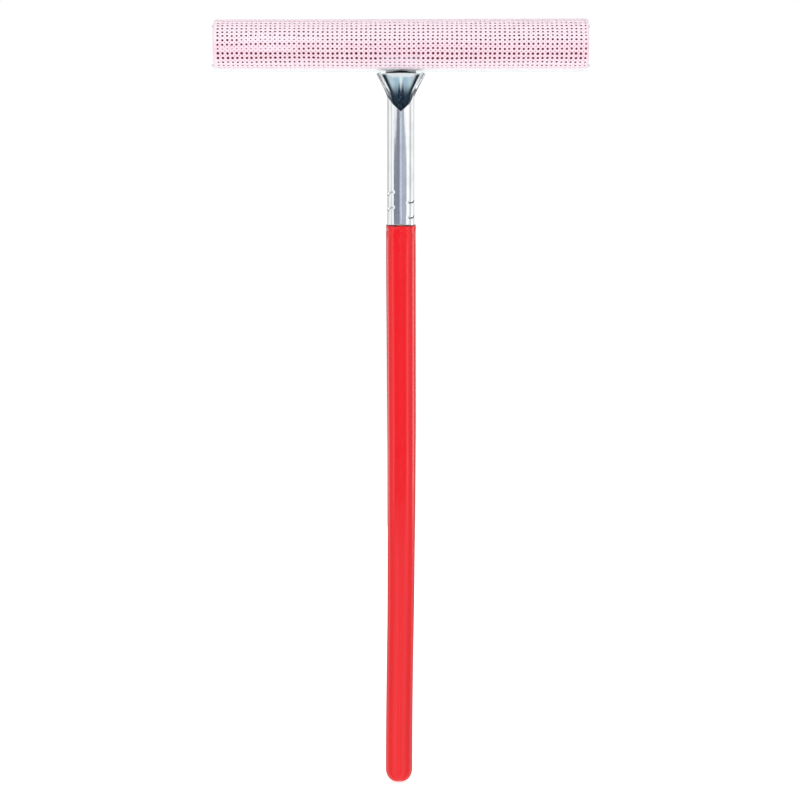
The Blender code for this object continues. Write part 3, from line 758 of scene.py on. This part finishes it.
def make_socket(bright, scoop, edge):
    sides = [i / SHEET_COLUMNS for i in range(-SHEET_COLUMNS, SHEET_COLUMNS + 1)]
    heights = socket_rows()
    verts = [socket_point(side, height) for height in heights for side in sides]
    faces = grid_faces(len(heights), len(sides))
    root = [len(verts) - len(sides) + i for i, side in enumerate(sides) if abs(side) <= MOUTH_FLAT_SHARE]
    tongue = [SOCKET_LENGTH + TONGUE_STEP * share for share in (0.25, 0.5, 0.75, 1)]
    tongue += list(np.linspace(tongue[-1], SOCKET_TOP - SOCKET_FOOT, 16)[1:])
    below = root
    for height in tongue:
        back = smoothstep(SOCKET_LENGTH, SOCKET_LENGTH + TONGUE_STEP, height)
        row = list(range(len(verts), len(verts) + len(root)))
        verts += [(verts[i][0], verts[i][1] + (MOUTH_BACK - verts[i][1]) * back, height) for i in root]
        faces += zip(below, below[1:], row[1:], row)
        below = row
    verts = [(x, y, SOCKET_FOOT + height) for x, y, height in verts]
    socket = outwards(mesh_object("rolled_socket", verts, faces, [bright, scoop, edge]))
    if socket.data.polygons[0].normal.y > 0:
        socket.data.flip_normals()
    solidify(socket, SOCKET_SHEET, inner=1, rim=2)
    soften_edges(socket, segments=3)
    applied(socket)
    cut_with(socket, rivet_holes(TONGUE_RIVETS, MOUTH_BACK, SOCKET_SHEET * 4))
    mark_socket(socket.data)
    hard_edges(socket, 40)
    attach(socket, "head")
    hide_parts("socket")


# Channels, rubber and rivets

CHANNEL_LIP = 0.0012
CHANNEL_BEND = 0.0010
BLADE_LIP = 0.0009
BLADE_BEND = 0.0007
RUBBER_EDGE = 0.0008        # half the rubber's thickness at its edge
SLOT_DEPTH = 0.0052
SLOT_PLAY = 0.0004
SLOT_SHARES = ((1.0, 0.0), (0.85, 0.28), (0.63, 0.53), (0.38, 0.72), (0.12, 0.88), (0.0, 1.0))
RIVET_SHANK = 0.0026
RIVET_HOLE = RIVET_SHANK + 2 * GAP
RIVET_RISE = 0.0012
WEB_SPLIT = 0.0030          # half height of the web's strip that the rivets' holes are cut from
CLEAR = 0.002               # how far the slot's and the pocket's cutters reach past the sheet
POCKET_PLAY = 0.0012
TONGUE_FACE = MOUTH_BACK - SOCKET_SHEET / 2


def rivet_place(node):
    low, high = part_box(node)
    return (low + high) / 2


TONGUE_RIVETS = [rivet_place("rivet_tongue_left"), rivet_place("rivet_tongue_right")]
OUTER_RIVETS = [rivet_place("rivet_outer_left"), rivet_place("rivet_outer_right")]


def rivet_holes(places, y, length, steps=32):
    """Round cutters along Y for the rivets' holes."""
    angles = np.arange(steps) * math.tau / steps
    ring = RIVET_HOLE / 2 * joined(np.cos(angles), 0, np.sin(angles))
    ends = [(0, y + way * length / 2, 0) for way in (-1, 1)]
    return [stacked("hole", [ring + (place.x, 0, place.z) + end for end in ends]) for place in places]


def block_cutter(name, outline, low, high):
    """A cutter with an upright wall over an outline of (x, y) points."""
    return stacked(name, [[(x, y, z) for x, y in outline] for z in (low, high)])


def mirrored(points):
    """The (y, z) points of an outline's upper half, then those of its lower half in reverse."""
    return points + [(y, -z) for y, z in reversed(points)]


def rounded_path(corners, radius, steps=5):
    """A folded strip's middle line as (y, z) points, with its corners rounded."""
    points = [corners[0]]
    for before, corner, after in zip(corners, corners[1:], corners[2:]):
        corner_at = np.array(corner, float)
        ends = []
        for other in (before, after):
            way = np.array(other, float) - corner_at
            reach = min(radius, 0.49 * np.linalg.norm(way))
            ends.append(corner_at + way / np.linalg.norm(way) * reach)
        for t in np.linspace(0, 1, steps + 1):
            turn = (1 - t) ** 2 * ends[0] + 2 * t * (1 - t) * corner_at + t ** 2 * ends[1]
            points.append(tuple(turn))
    return points + [corners[-1]]


def folded_channel(name, upper, sheet, bend, mat, cutters, seed):
    """A strip folded along X over (y, z) corners, with a tenth of a millimetre of sway in its lips."""
    x = np.linspace(-HEAD_LENGTH / 2, HEAD_LENGTH / 2, 90)[:, None]
    y, z = np.array(rounded_path(mirrored(upper), bend)).T
    lip = np.abs(y - upper[2][0]) / abs(upper[0][0] - upper[2][0])
    sway = 0.00010 * lip * wave_noise(seed, joined(x / 0.06, np.copysign(1, z)), 1.0)
    points = joined(x, y + 0.4 * sway, HEAD_Z + z + sway)
    channel = mesh_object(name, points.reshape(-1, 3), grid_faces(*points.shape[:2]), [mat])
    solidify(channel, sheet)
    soften_edges(channel)
    applied(channel)
    cut_with(channel, cutters + rivet_holes(TONGUE_RIVETS + OUTER_RIVETS, WEB_BACK, 0.012))
    hard_edges(channel, 40)
    even_normals(channel)
    return channel


def slot_cutter():
    """The slot in the channel's lower flange and web that the tongue goes through."""
    half = TONGUE_WIDTH / 2 + SLOT_PLAY
    start = TONGUE_FACE - GAP
    right = [(half * x, start - SLOT_DEPTH * depth) for x, depth in SLOT_SHARES]
    left = [(-x, y) for x, y in reversed(right[:-1])]
    outline = [(half, WEB_BACK + CLEAR)] + right + left + [(-half, WEB_BACK + CLEAR)]
    return block_cutter(
        "slot", outline, CHANNEL_LOW.z - CLEAR, CHANNEL_LOW.z + CHANNEL_SHEET + CHANNEL_BEND)


def make_channels(zinc):
    half = CHANNEL_SHEET / 2
    side = (CHANNEL_HIGH.z - CHANNEL_LOW.z) / 2 - half
    front, back = LIP_FACE + half, WEB_BACK - half
    upper = [(front, side - half - CHANNEL_LIP), (front, side), (back, side), (back, WEB_SPLIT)]
    slot = slot_cutter()
    channel = folded_channel("sponge_holder", upper, CHANNEL_SHEET, CHANNEL_BEND, zinc, [slot], 21)
    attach(channel, "head")
    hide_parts("sponge_channel")

    half = BLADE_SHEET / 2
    side = (BLADE_HIGH.z - BLADE_LOW.z) / 2 - half
    base, mouth = BLADE_LOW.y + half, BLADE_HIGH.y - half
    upper = [(mouth, side - BLADE_LIP), (mouth, side), (base, side)]
    channel = folded_channel("rubber_holder", upper, BLADE_SHEET, BLADE_BEND, zinc, [], 22)
    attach(channel, "head")
    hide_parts("blade_channel")


def make_rubber(rubber):
    """The wiping strip: a root in the channel, a neck at its lips and a taper to the edge."""
    room = (BLADE_HIGH.z - BLADE_LOW.z) / 2 - BLADE_SHEET
    root, neck = room - GAP, room - BLADE_LIP - GAP
    shoulder = BLADE_HIGH.y - BLADE_SHEET - GAP
    ease = BLADE_LIP / 2
    start, free, end = RUBBER_LOW.y, BLADE_HIGH.y + ease, RUBBER_HIGH.y
    upper = [(start, root - ease), (start + ease, root), (shoulder - ease, root), (shoulder, root - ease)]
    upper += [(shoulder, neck), (free, neck)]
    upper += [(free + (end - free) * t, neck + (RUBBER_EDGE - neck) * t) for t in np.linspace(0, 1, 10)[1:]]
    y, z = np.array(mirrored(upper)).T
    x = np.linspace(-HEAD_LENGTH / 2, HEAD_LENGTH / 2, 140)[:, None]
    sway = 0.00030 * smoothstep(BLADE_HIGH.y, end, y) * wave_noise(31, x[..., None] / 0.11, 1.0)
    blade = stacked("wiping_rubber", joined(x, y, HEAD_Z + z + sway), [rubber])
    soften_edges(blade, 0.00012, angle=60)
    applied(blade)
    hard_edges(blade, 38)
    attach(blade, "head")
    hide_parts("rubber_blade")


def make_rivet(node, name, zinc):
    low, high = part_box(node)
    head, half = (high.x - low.x) / 2, (high.y - low.y) / 2
    under = half - RIVET_RISE
    dome = arc((0, under), (head, RIVET_RISE), 0, 90, 10)[:-1] + [(0, half)]
    upper = [(RIVET_SHANK / 2, under)] + dome
    rivet = revolved(name, [(r, -z) for r, z in reversed(upper)] + upper, [zinc], steps=40)
    rivet.data.transform(Matrix.Translation(rivet_place(node)) @ Matrix.Rotation(math.pi / 2, 4, "X"))
    rivet.data.set_sharp_from_angle(angle=math.radians(50))
    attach(rivet, "head")
    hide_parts(node)


# Net and foam

NET_HALF = (NET_HIGH.z - NET_LOW.z) / 2
NET_WALL = 0.0008
NET_THREAD = 0.00062        # thickness of the net's strands
FOAM_CLEAR = 0.00010        # between the strands and the foam
FOAM_STEP = 0.0013          # from the channel's lips to the wider foam behind them
FOAM_START = 0.0022         # of the foam's skin, round the crown from the net's edges
NET_CROWN = 0.0127
NET_WIDEST = NET_LOW.y + NET_CROWN
NET_TUCK = 0.0010           # how far the net reaches in behind the channel's lips
NET_MOUTH = (CHANNEL_HIGH.z - CHANNEL_LOW.z) / 2 - CHANNEL_SHEET - CHANNEL_LIP - GAP
NET_END_ROUND = 0.0026
CORNER_SHARE = 0.4          # of the ends' rounding, at the net's top and bottom
UPPER_TILT = 0.022          # how much taller the upper half is at the right end than on average
COLUMNS = 78
COLUMN_PITCH = 0.003160
COLUMN_SHIFT = 0.0006
LOWER_PITCH = 0.00317
UPPER_PITCH = 0.00252
ROWS_BELOW, ROWS_ABOVE = 10, 12
ROW_AT = -0.0001            # of the middle row of holes above the crown's line
HOLE_RADIUS = 0.00091
EYELET_RADIUS = 0.00034
UPPER_HOLES, LOWEST_HOLES = 0.82, 0.78     # sizes against the widest row's, below the crown
# Holes pulled nearly shut: row, from and to along the head, and how much smaller
DRAWN_SHUT = ((0, -0.109, -0.047, 0.35), (1, -0.098, -0.086, 0.40), (-2, -0.124, -0.066, 0.50))
HEM_OVERLAP = 0.0005
HEM_TURN_IN = 0.0034
HEM_EXTRA = 0.00010         # how much thicker the doubled ends are, on either face
# Where the painted pink cast of the foam lies on the net: its middle below the crown's line, and how far
# from it the cast is full and where it ends.
NET_TINT_MIDDLE = -0.0072
NET_TINT_NEAR, NET_TINT_FAR = 0.0030, 0.0085


def net_curve():
    """The net's section as an array of (y, z) from the lower lip round the crown to the upper."""
    bend = LIP_FACE - GAP
    half = [(LIP_FACE + CHANNEL_SHEET + NET_TUCK, NET_MOUTH), (bend, NET_MOUTH)]
    half += arc((NET_WIDEST, NET_MOUTH), (bend - NET_WIDEST, NET_HALF - NET_MOUTH), 0, 90, 40)[1:]
    half += arc((NET_WIDEST, 0), (-NET_CROWN, NET_HALF), 90, 0, 90)[1:]
    upper = np.array(half)
    lower = upper * (1, -1)
    return np.concatenate([lower[:-1], upper[::-1]])


NET_CURVE = net_curve()
NET_STEPS = np.concatenate([[0], np.cumsum(np.hypot(*np.diff(NET_CURVE, axis=0).T))])
NET_GIRTH = NET_STEPS[-1]


def end_turn(u):
    """X along the head, and how far the section is drawn in where the surface turns round an end."""
    start = NET_LENGTH / 2 - NET_END_ROUND
    past = np.maximum(np.abs(u) - start, 0)
    angle = np.minimum(past / NET_END_ROUND, math.pi / 2)
    inset = NET_END_ROUND * (1 - np.cos(angle)) + np.maximum(past - NET_END_ROUND * math.pi / 2, 0)
    x = np.minimum(np.abs(u), start) + NET_END_ROUND * np.sin(angle)
    return np.copysign(x, u), inset


def net_surface(u, v):
    """Points on the net's outer form, u along the head and v up round the crown from its line."""
    arc_at = np.clip(v + NET_GIRTH / 2, 0, NET_GIRTH)
    y = np.interp(arc_at, NET_STEPS, NET_CURVE[:, 0])
    z = np.interp(arc_at, NET_STEPS, NET_CURVE[:, 1])
    x, inset = end_turn(u)
    front = np.minimum(y - LIP_FACE, 0)
    y = LIP_FACE + front * (1 - inset / NET_HALF) + np.maximum(y - LIP_FACE, 0)
    drawn_in = CORNER_SHARE * np.minimum(inset, NET_END_ROUND) + np.maximum(inset - NET_END_ROUND, 0)
    kept = (1 - drawn_in / NET_HALF) * (1 + np.where(z > 0, UPPER_TILT, 0) * 2 * x / NET_LENGTH)
    out = np.clip(front / (NET_LOW.y - LIP_FACE), 0, 1)
    swell = 1 + 0.010 * out * wave_noise(41, joined(x / 0.07, z / 0.03), 1.0)
    z = HEAD_Z + z * kept * (1 + 0.35 * (swell - 1))
    return joined(x, LIP_FACE + (y - LIP_FACE) * swell, z)


def on_net(u, v, height):
    """The surface's points moved out along its normal by a height."""
    step = 0.00005
    point = net_surface(u, v)
    du = net_surface(u + step, v) - net_surface(u - step, v)
    dv = net_surface(u, v + step) - net_surface(u, v - step)
    normal = np.cross(du, dv)
    size = np.linalg.norm(normal, axis=-1, keepdims=True)
    normal = normal / np.maximum(size, 1e-15)
    return point + normal * height[..., None]


def row_place(row):
    """Height round the crown of a row of holes: the upper rows lie closer together."""
    mean, spread = (LOWER_PITCH + UPPER_PITCH) / 2, (UPPER_PITCH - LOWER_PITCH) / 2
    return ROW_AT + mean * row + spread * (np.sqrt(row * row + 1) - 1)


def cell_rings():
    """One cell of the net in units of its pitch: its border with an eyelet's quarter in each
    corner, and the directions of the round hole's points."""
    notch = EYELET_RADIUS / COLUMN_PITCH
    slant = 0.5 - notch * math.sqrt(0.5)
    quarter = [(0.5, 0.5 - notch), (slant, slant), (0.5 - notch, 0.5)]
    border = []
    for _ in range(4):
        border += quarter
        quarter = [(-y, x) for x, y in quarter]
    return np.array(border), np.array(arc((0, 0), (1, 1), 15, 345, 11))


def shut(row, u):
    """What is left of a hole's size where the knit is pulled nearly shut."""
    left = 1.0
    for drawn, start, end, share in DRAWN_SHUT:
        if drawn == row:
            left -= share * smoothstep(start, start + 0.006, u) * smoothstep(end, end - 0.010, u)
    return left


def make_net(net_material):
    border, hole = cell_rings()
    columns = np.arange(COLUMNS) - (COLUMNS - 1) / 2 + COLUMN_SHIFT / COLUMN_PITCH
    rows = np.arange(-ROWS_BELOW, ROWS_ABOVE + 1)
    verts, faces, seen = [], [], {}
    rng = np.random.default_rng(51)
    # Height of each loop of a cell, and its size against the hole's: the border has none
    loops = ((0.00000, None), (-0.00018, 1.14), (-0.00040, 1.0), (-NET_THREAD, 1.06), (-NET_THREAD, None))

    def corner(u, v, height):
        key = (round(u * 1e7), round(v * 1e4), round(height * 1e7))
        if key not in seen:
            seen[key] = len(verts)
            verts.append((u, v, height))
        return seen[key]

    for row in rows:
        place = row_place(row)
        size = 1 - (1 - UPPER_HOLES) * smoothstep(-0.0090, -0.0060, place)
        size -= (1 - LOWEST_HOLES) * smoothstep(-0.0128, -0.0160, place)
        for column in columns:
            rings = []
            radius = size * shut(row, column * COLUMN_PITCH) * HOLE_RADIUS / COLUMN_PITCH
            radius *= rng.uniform(0.93, 1.06)
            shift = rng.uniform(-0.035, 0.035, 2)
            for height, wide in loops:
                if wide is None:
                    ring = [corner((column + x) * COLUMN_PITCH, row + y, height) for x, y in border]
                else:
                    ring = list(range(len(verts), len(verts) + len(hole)))
                    verts += [(
                        (column + shift[0] + radius * wide * x) * COLUMN_PITCH,
                        row + shift[1] + radius * wide * y * COLUMN_PITCH / LOWER_PITCH, height)
                        for x, y in hole]
                rings.append(ring)
            for outer, inner in zip(rings, rings[1:]):
                faces += zip(outer, outer[1:] + outer[:1], inner[1:] + inner[:1], inner)
            at_rim = (row == rows[-1], column == columns[0], row == rows[0], column == columns[-1])
            for i in range(len(border)):
                j = (i + 1) % len(border)
                if i % 3 != 2 or at_rim[i // 3]:
                    faces.append((rings[0][j], rings[0][i], rings[-1][i], rings[-1][j]))
    places = np.array(verts)
    u, v = places[:, 0], row_place(places[:, 1])
    flat = joined(u, v)
    u = u + 0.00010 * wave_noise(52, flat, 0.014) + 0.00004 * wave_noise(53, flat, 0.004)
    v = v + 0.00028 * wave_noise(54, flat / (5, 1), 0.012) + 0.00004 * wave_noise(55, flat, 0.004)
    points = on_net(u, v, places[:, 2] + 0.00006 * wave_noise(56, flat, 0.006))
    net = outwards(mesh_object("knitted_net", points, faces, [net_material]))
    net.data.set_sharp_from_angle(angle=math.radians(60))
    cut_area = COLUMNS * COLUMN_PITCH * NET_GIRTH
    holes = len(rows) * COLUMNS * math.pi * (HOLE_RADIUS ** 2 + EYELET_RADIUS ** 2)
    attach(net, "head")
    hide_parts("net_cover")
    return net, cut_area - holes


def make_hem(name, side, net_material):
    """The net's end, doubled over and turned in round the foam's edge."""
    around = np.linspace(-NET_GIRTH / 2, NET_GIRTH / 2, 150)
    start = COLUMNS / 2 * COLUMN_PITCH + side * COLUMN_SHIFT - HEM_OVERLAP
    along = np.linspace(start, NET_LENGTH / 2 + NET_END_ROUND * (math.pi / 2 - 1) + HEM_TURN_IN, 26)
    u, v = np.meshgrid(side * along, around, indexing="ij")
    flat = joined(u, v)
    frayed = smoothstep(along[4], along[0], np.abs(u)) + smoothstep(along[-5], along[-1], np.abs(u))
    u = u + side * 0.00022 * frayed * wave_noise(61, flat, 0.004)
    ridge = 0.00010 * np.sin(flat[..., 1] / 0.0011 * math.pi) * wave_noise(62, flat, 0.003)
    height = HEM_EXTRA + ridge + 0.00014 * wave_noise(63, flat, 0.010)
    layers = [on_net(u, v, height), on_net(u, v, height - NET_THREAD - HEM_EXTRA)]
    verts = np.reshape(layers, (-1, 3))
    face = grid_faces(*u.shape)
    base = u.size
    faces = face + [tuple(base + i for i in reversed(f)) for f in face]
    place = np.arange(base).reshape(u.shape)
    loop = [*place[0], *place[1:, -1], *place[-1, -2::-1], *place[-2:0:-1, 0]]
    for a, b in zip(loop, loop[1:] + loop[:1]):
        faces.append((b, a, base + a, base + b))
    hem = outwards(mesh_object(name, verts, faces, [net_material]))
    hem.data.set_sharp_from_angle(angle=math.radians(60))
    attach(hem, "head")
    return hem


def make_foam(foam_material):
    """The sponge: a waist at the channel's lips, the crown, and cut ends with open pores."""
    length = NET_LENGTH - 2 * (NET_WALL + GAP)
    back = WEB_BACK - CHANNEL_SHEET - GAP
    front = LIP_FACE + CHANNEL_SHEET + FOAM_STEP
    side = (CHANNEL_HIGH.z - CHANNEL_LOW.z) / 2 - CHANNEL_SHEET - GAP
    around = np.linspace(FOAM_START - NET_GIRTH / 2, NET_GIRTH / 2 - FOAM_START, 84)
    rings = []
    for x in np.linspace(-length / 2, length / 2, 240):
        skin = on_net(np.full_like(around, x), around, np.full_like(around, -NET_THREAD - FOAM_CLEAR))
        skin[:, 0] = x
        lower = [(x, y, HEAD_Z - side) for y in (back, front)]
        upper = [(x, y, HEAD_Z + side) for y in (front, back)]
        rings.append(np.concatenate([lower, skin, upper]))
    rings = np.array(rings)
    rough = wave_noise(71, rings / 0.0026, 1.0) * 0.00008
    outward = (rings - (0, LIP_FACE, HEAD_Z)) * (0, 1, 1)
    outward /= np.linalg.norm(outward, axis=-1, keepdims=True)
    rings = rings + outward * rough[..., None]
    caps = []
    for ring, way in ((rings[0], -1), (rings[-1], 1)):
        centre = np.array((ring[0, 0], (back + NET_WIDEST - NET_CROWN) / 2, HEAD_Z))
        inward = np.array([centre + (ring - centre) * share for share in np.linspace(1, 0.03, 44)[1:]])
        pits = wave_noise(72, inward / 0.0016, 1.0) + 0.7 * wave_noise(73, inward / 0.0007, 1.0)
        inward[..., 0] += way * 0.00022 * np.clip(pits, -1.6, 0.6)
        caps.append(inward)
    foam = stacked("foam_sponge", np.concatenate([caps[0][::-1], rings, caps[1]]), [foam_material])
    cut_with(foam, [pocket_cutter()])
    hard_edges(foam, 50)
    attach(foam, "head")
    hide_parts("sponge")
    return foam


def pocket_cutter():
    """The hollow in the foam's back round the tongue, its rivets and the slot."""
    half = TONGUE_WIDTH / 2 + POCKET_PLAY
    front, back = TONGUE_FACE - GAP - SLOT_DEPTH - POCKET_PLAY, WEB_BACK + CLEAR
    outline = [(-half, front), (half, front), (half, back), (-half, back)]
    return block_cutter("pocket", outline, CHANNEL_LOW.z - CLEAR, SOCKET_TOP + POCKET_PLAY)


# Camera, floor and light


def make_camera():
    data = bpy.data.cameras.new("camera")
    camera = placed("camera", data)
    data.sensor_width = SENSOR
    data.lens = SENSOR * CAMERA_DISTANCE / (PICTURE_SIDE * PIXEL)
    camera.location = (-AXIS_SHIFT_PIXELS * PIXEL, -CAMERA_DISTANCE, CAMERA_HEIGHT)
    camera.rotation_euler = (math.radians(90), 0, 0)
    bpy.context.scene.camera = camera


def make_floor():
    size, height = 8.0, -0.0004
    verts = [(-size, -size, height), (size, -size, height), (size, size, height), (-size, size, height)]
    paper = Surface("white_floor", (0.80, 0.80, 0.80), 0.9, Specular_IOR_Level=0.0)
    paper.set("Emission Color", (1, 1, 1, 1))
    seen = paper.add("ShaderNodeLightPath", output="Is Camera Ray")
    paper.set("Emission Strength", paper.noise(0.02).fit(0.2, 0.8, 0.70, 0.72) * seen.larger(0.60))
    floor = mesh_object("floor", verts, [(0, 1, 2, 3)], [paper.mat])
    floor.visible_glossy = False


# What polished surfaces see round the object, from the photograph's side (0) to behind it (1):
# above eye level, at eye level and below it. A stop is its place and its colour, or one grey
LEFT_STOPS = (
    (0.000, 0.24, 0.26, 0.34), (0.150, 0.24, 0.26, 0.33), (0.240, 0.25, 0.27, 0.33),
    (0.338, 0.19, 0.21, 0.25), (0.358, 0.90, 0.91, 0.92), (0.380, 1.00, 1.01, 1.01), (0.410, 1.12),
    (0.445, 0.92), (0.478, 0.64, 0.66, 0.66), (0.510, 0.86, 0.87, 0.87), (0.600, 1.06), (0.645, 0.98),
    (0.710, 0.70, 0.72, 0.72), (0.850, 0.46, 0.48, 0.48))
RIGHT_STOPS = (
    (0.000, 0.42, 0.44, 0.56), (0.060, 0.45, 0.49, 0.61), (0.150, 0.44, 0.49, 0.57),
    (0.258, 0.39, 0.43, 0.49), (0.286, 1.02, 1.03, 1.04), (0.335, 1.12), (0.385, 1.12), (0.430, 0.84),
    (0.485, 0.58, 0.60, 0.60), (0.530, 0.74, 0.75, 0.75), (0.565, 0.94), (0.625, 1.14), (0.670, 1.02),
    (0.720, 0.82, 0.83, 0.83), (0.880, 0.82, 0.83, 0.83))
LEVEL_LEFT = (
    (0.000, 0.33, 0.34, 0.46), (0.240, 0.34, 0.36, 0.48), (0.320, 0.44, 0.47, 0.56),
    (0.350, 1.30, 1.32, 1.38), (0.385, 1.30, 1.32, 1.38), (0.420, 0.80), (0.500, 0.66, 0.67, 0.67),
    (0.615, 0.50, 0.52, 0.54), (0.655, 1.50, 1.50, 1.55), (0.740, 2.20, 2.20, 2.26),
    (0.780, 0.30, 0.32, 0.34), (0.900, 0.22, 0.24, 0.26))
LEVEL_RIGHT = (
    (0.000, 0.33, 0.34, 0.46), (0.170, 0.36, 0.38, 0.50), (0.215, 0.60, 0.62, 0.70),
    (0.262, 1.60, 1.62, 1.66), (0.292, 1.60, 1.62, 1.66), (0.330, 0.90, 0.92, 0.96),
    (0.400, 0.66, 0.68, 0.72), (0.510, 0.52, 0.54, 0.56), (0.550, 1.30, 1.32, 1.36),
    (0.600, 2.40, 2.42, 2.46), (0.660, 2.40, 2.42, 2.46), (0.700, 0.36, 0.38, 0.40),
    (0.900, 0.22, 0.24, 0.26))
LOW_STOPS = (
    (0.000, 1.50, 1.56, 1.56), (0.008, 1.50, 1.56, 1.56), (0.018, 0.46, 0.60, 0.66),
    (0.070, 0.52, 0.70, 0.78), (0.130, 0.86, 1.08, 1.18), (0.290, 0.80, 0.98, 1.06),
    (0.360, 0.55, 0.62, 0.66), (0.560, 0.50, 0.54, 0.56), (0.620, 0.90, 0.92, 0.94),
    (0.700, 0.84, 0.86, 0.88), (0.750, 0.36, 0.38, 0.40), (0.900, 0.28, 0.30, 0.32))
STRIP = (1.30, 1.34, 1.62)
CEILING = (0.22, 0.23, 0.25)
LOW_BEHIND = (1.25, 1.25, 1.25)
FRONT_LEVEL, BACK_LEVEL = (0.70, 0.70, 0.70), (0.34, 0.34, 0.34)
WHITE = (1.0, 1.0, 1.0)


def make_world():
    """A studio that only polished surfaces see; the rest gets an even light, and the eye sees white."""
    world = bpy.data.worlds.new("studio")
    bpy.context.scene.world = world
    world.use_nodes = True
    sky = Nodes(world.node_tree)
    x, y, z = sky.split(sky.add("ShaderNodeTexCoord", output="Generated"))
    angle = sky.maths("ARCTAN2", x, y * -1.0)
    round_it = sky.maths("DIVIDE", abs(angle), math.pi)
    front = round_it.larger((round_it * z.fit(0.170, 0.206, 1.0, 1.95)).smaller(0.36))
    right = x.fit(-0.04, 0.04)
    above = sky.mix(right, sky.ramp(front, LEFT_STOPS), sky.ramp(front, RIGHT_STOPS))
    level = sky.mix(right, sky.ramp(round_it, LEVEL_LEFT), sky.ramp(round_it, LEVEL_RIGHT))
    studio = sky.mix(z.fit(-0.12, -0.06), sky.ramp(round_it, LOW_STOPS), level)
    studio = sky.mix(z.fit(0.112, 0.124), studio, above)
    strip = abs(angle + 0.075).fit(0.080, 0.030) * z.fit(0.110, 0.130) * z.fit(0.30, 0.25)
    studio = sky.mix(strip, studio, STRIP)
    studio = sky.mix(z.fit(0.52, 0.68), studio, CEILING)
    studio = sky.mix(z.fit(-0.14, -0.19) * round_it.fit(0.80, 0.90), studio, LOW_BEHIND)
    path = {out.name: Value(sky, out) for out in sky.node("ShaderNodeLightPath").outputs}
    light = sky.mix(path["Is Glossy Ray"], sky.mix(y.fit(-0.5, 0.5), FRONT_LEVEL, BACK_LEVEL), studio)
    seen = path["Is Camera Ray"].larger(path["Is Transmission Ray"])
    sky.give(sky.tree.nodes["Background"].inputs["Color"], sky.mix(seen, light, WHITE))


LAMPS = (       # name, place, what it is aimed at, diameter, watts
    ("key", (-0.6, -1.7, 1.0), (0, 0, 0.3), 1.0, 4.5),
    ("fill", (0.5, -1.7, 0.7), (0, 0, 0.3), 1.0, 2.6),
    ("low", (-0.1, -1.7, 0.15), (0, 0, 0.4), 1.0, 3.2),
    ("rear", (0.2, 1.8, 0.8), (0, 0, 0.3), 1.0, 15.0),
    ("top", (0, -0.5, 1.9), (0, 0, 0.4), 0.8, 4.0))


def make_lamps():
    for name, place, aim, diameter, watts in LAMPS:
        data = bpy.data.lights.new(name, "AREA")
        data.shape, data.size, data.energy = "DISK", diameter, watts
        lamp = placed(name, data)
        lamp.location = place
        lamp.rotation_euler = (Vector(aim) - Vector(place)).to_track_quat("-Z", "Y").to_euler()
        lamp.visible_glossy = False


def build():
    make_camera()
    make_floor()
    make_world()
    make_lamps()
    bpy.context.scene.view_settings.view_transform = "Standard"

    zinc = zinc_steel()
    net_material = pale_net()
    make_sleeve(red_film())
    make_core(bare_wood())
    make_socket(bright_steel(), scoop_steel(), edge_steel())
    make_channels(zinc)
    make_rubber(black_rubber())
    for side in ("tongue_left", "tongue_right", "outer_left", "outer_right"):
        make_rivet("rivet_" + side, "domed_rivet_" + side, zinc)
    foam = make_foam(red_foam())
    net, cut_area = make_net(net_material)
    hems = [make_hem("net_hem_left", -1, net_material), make_hem("net_hem_right", 1, net_material)]


build()
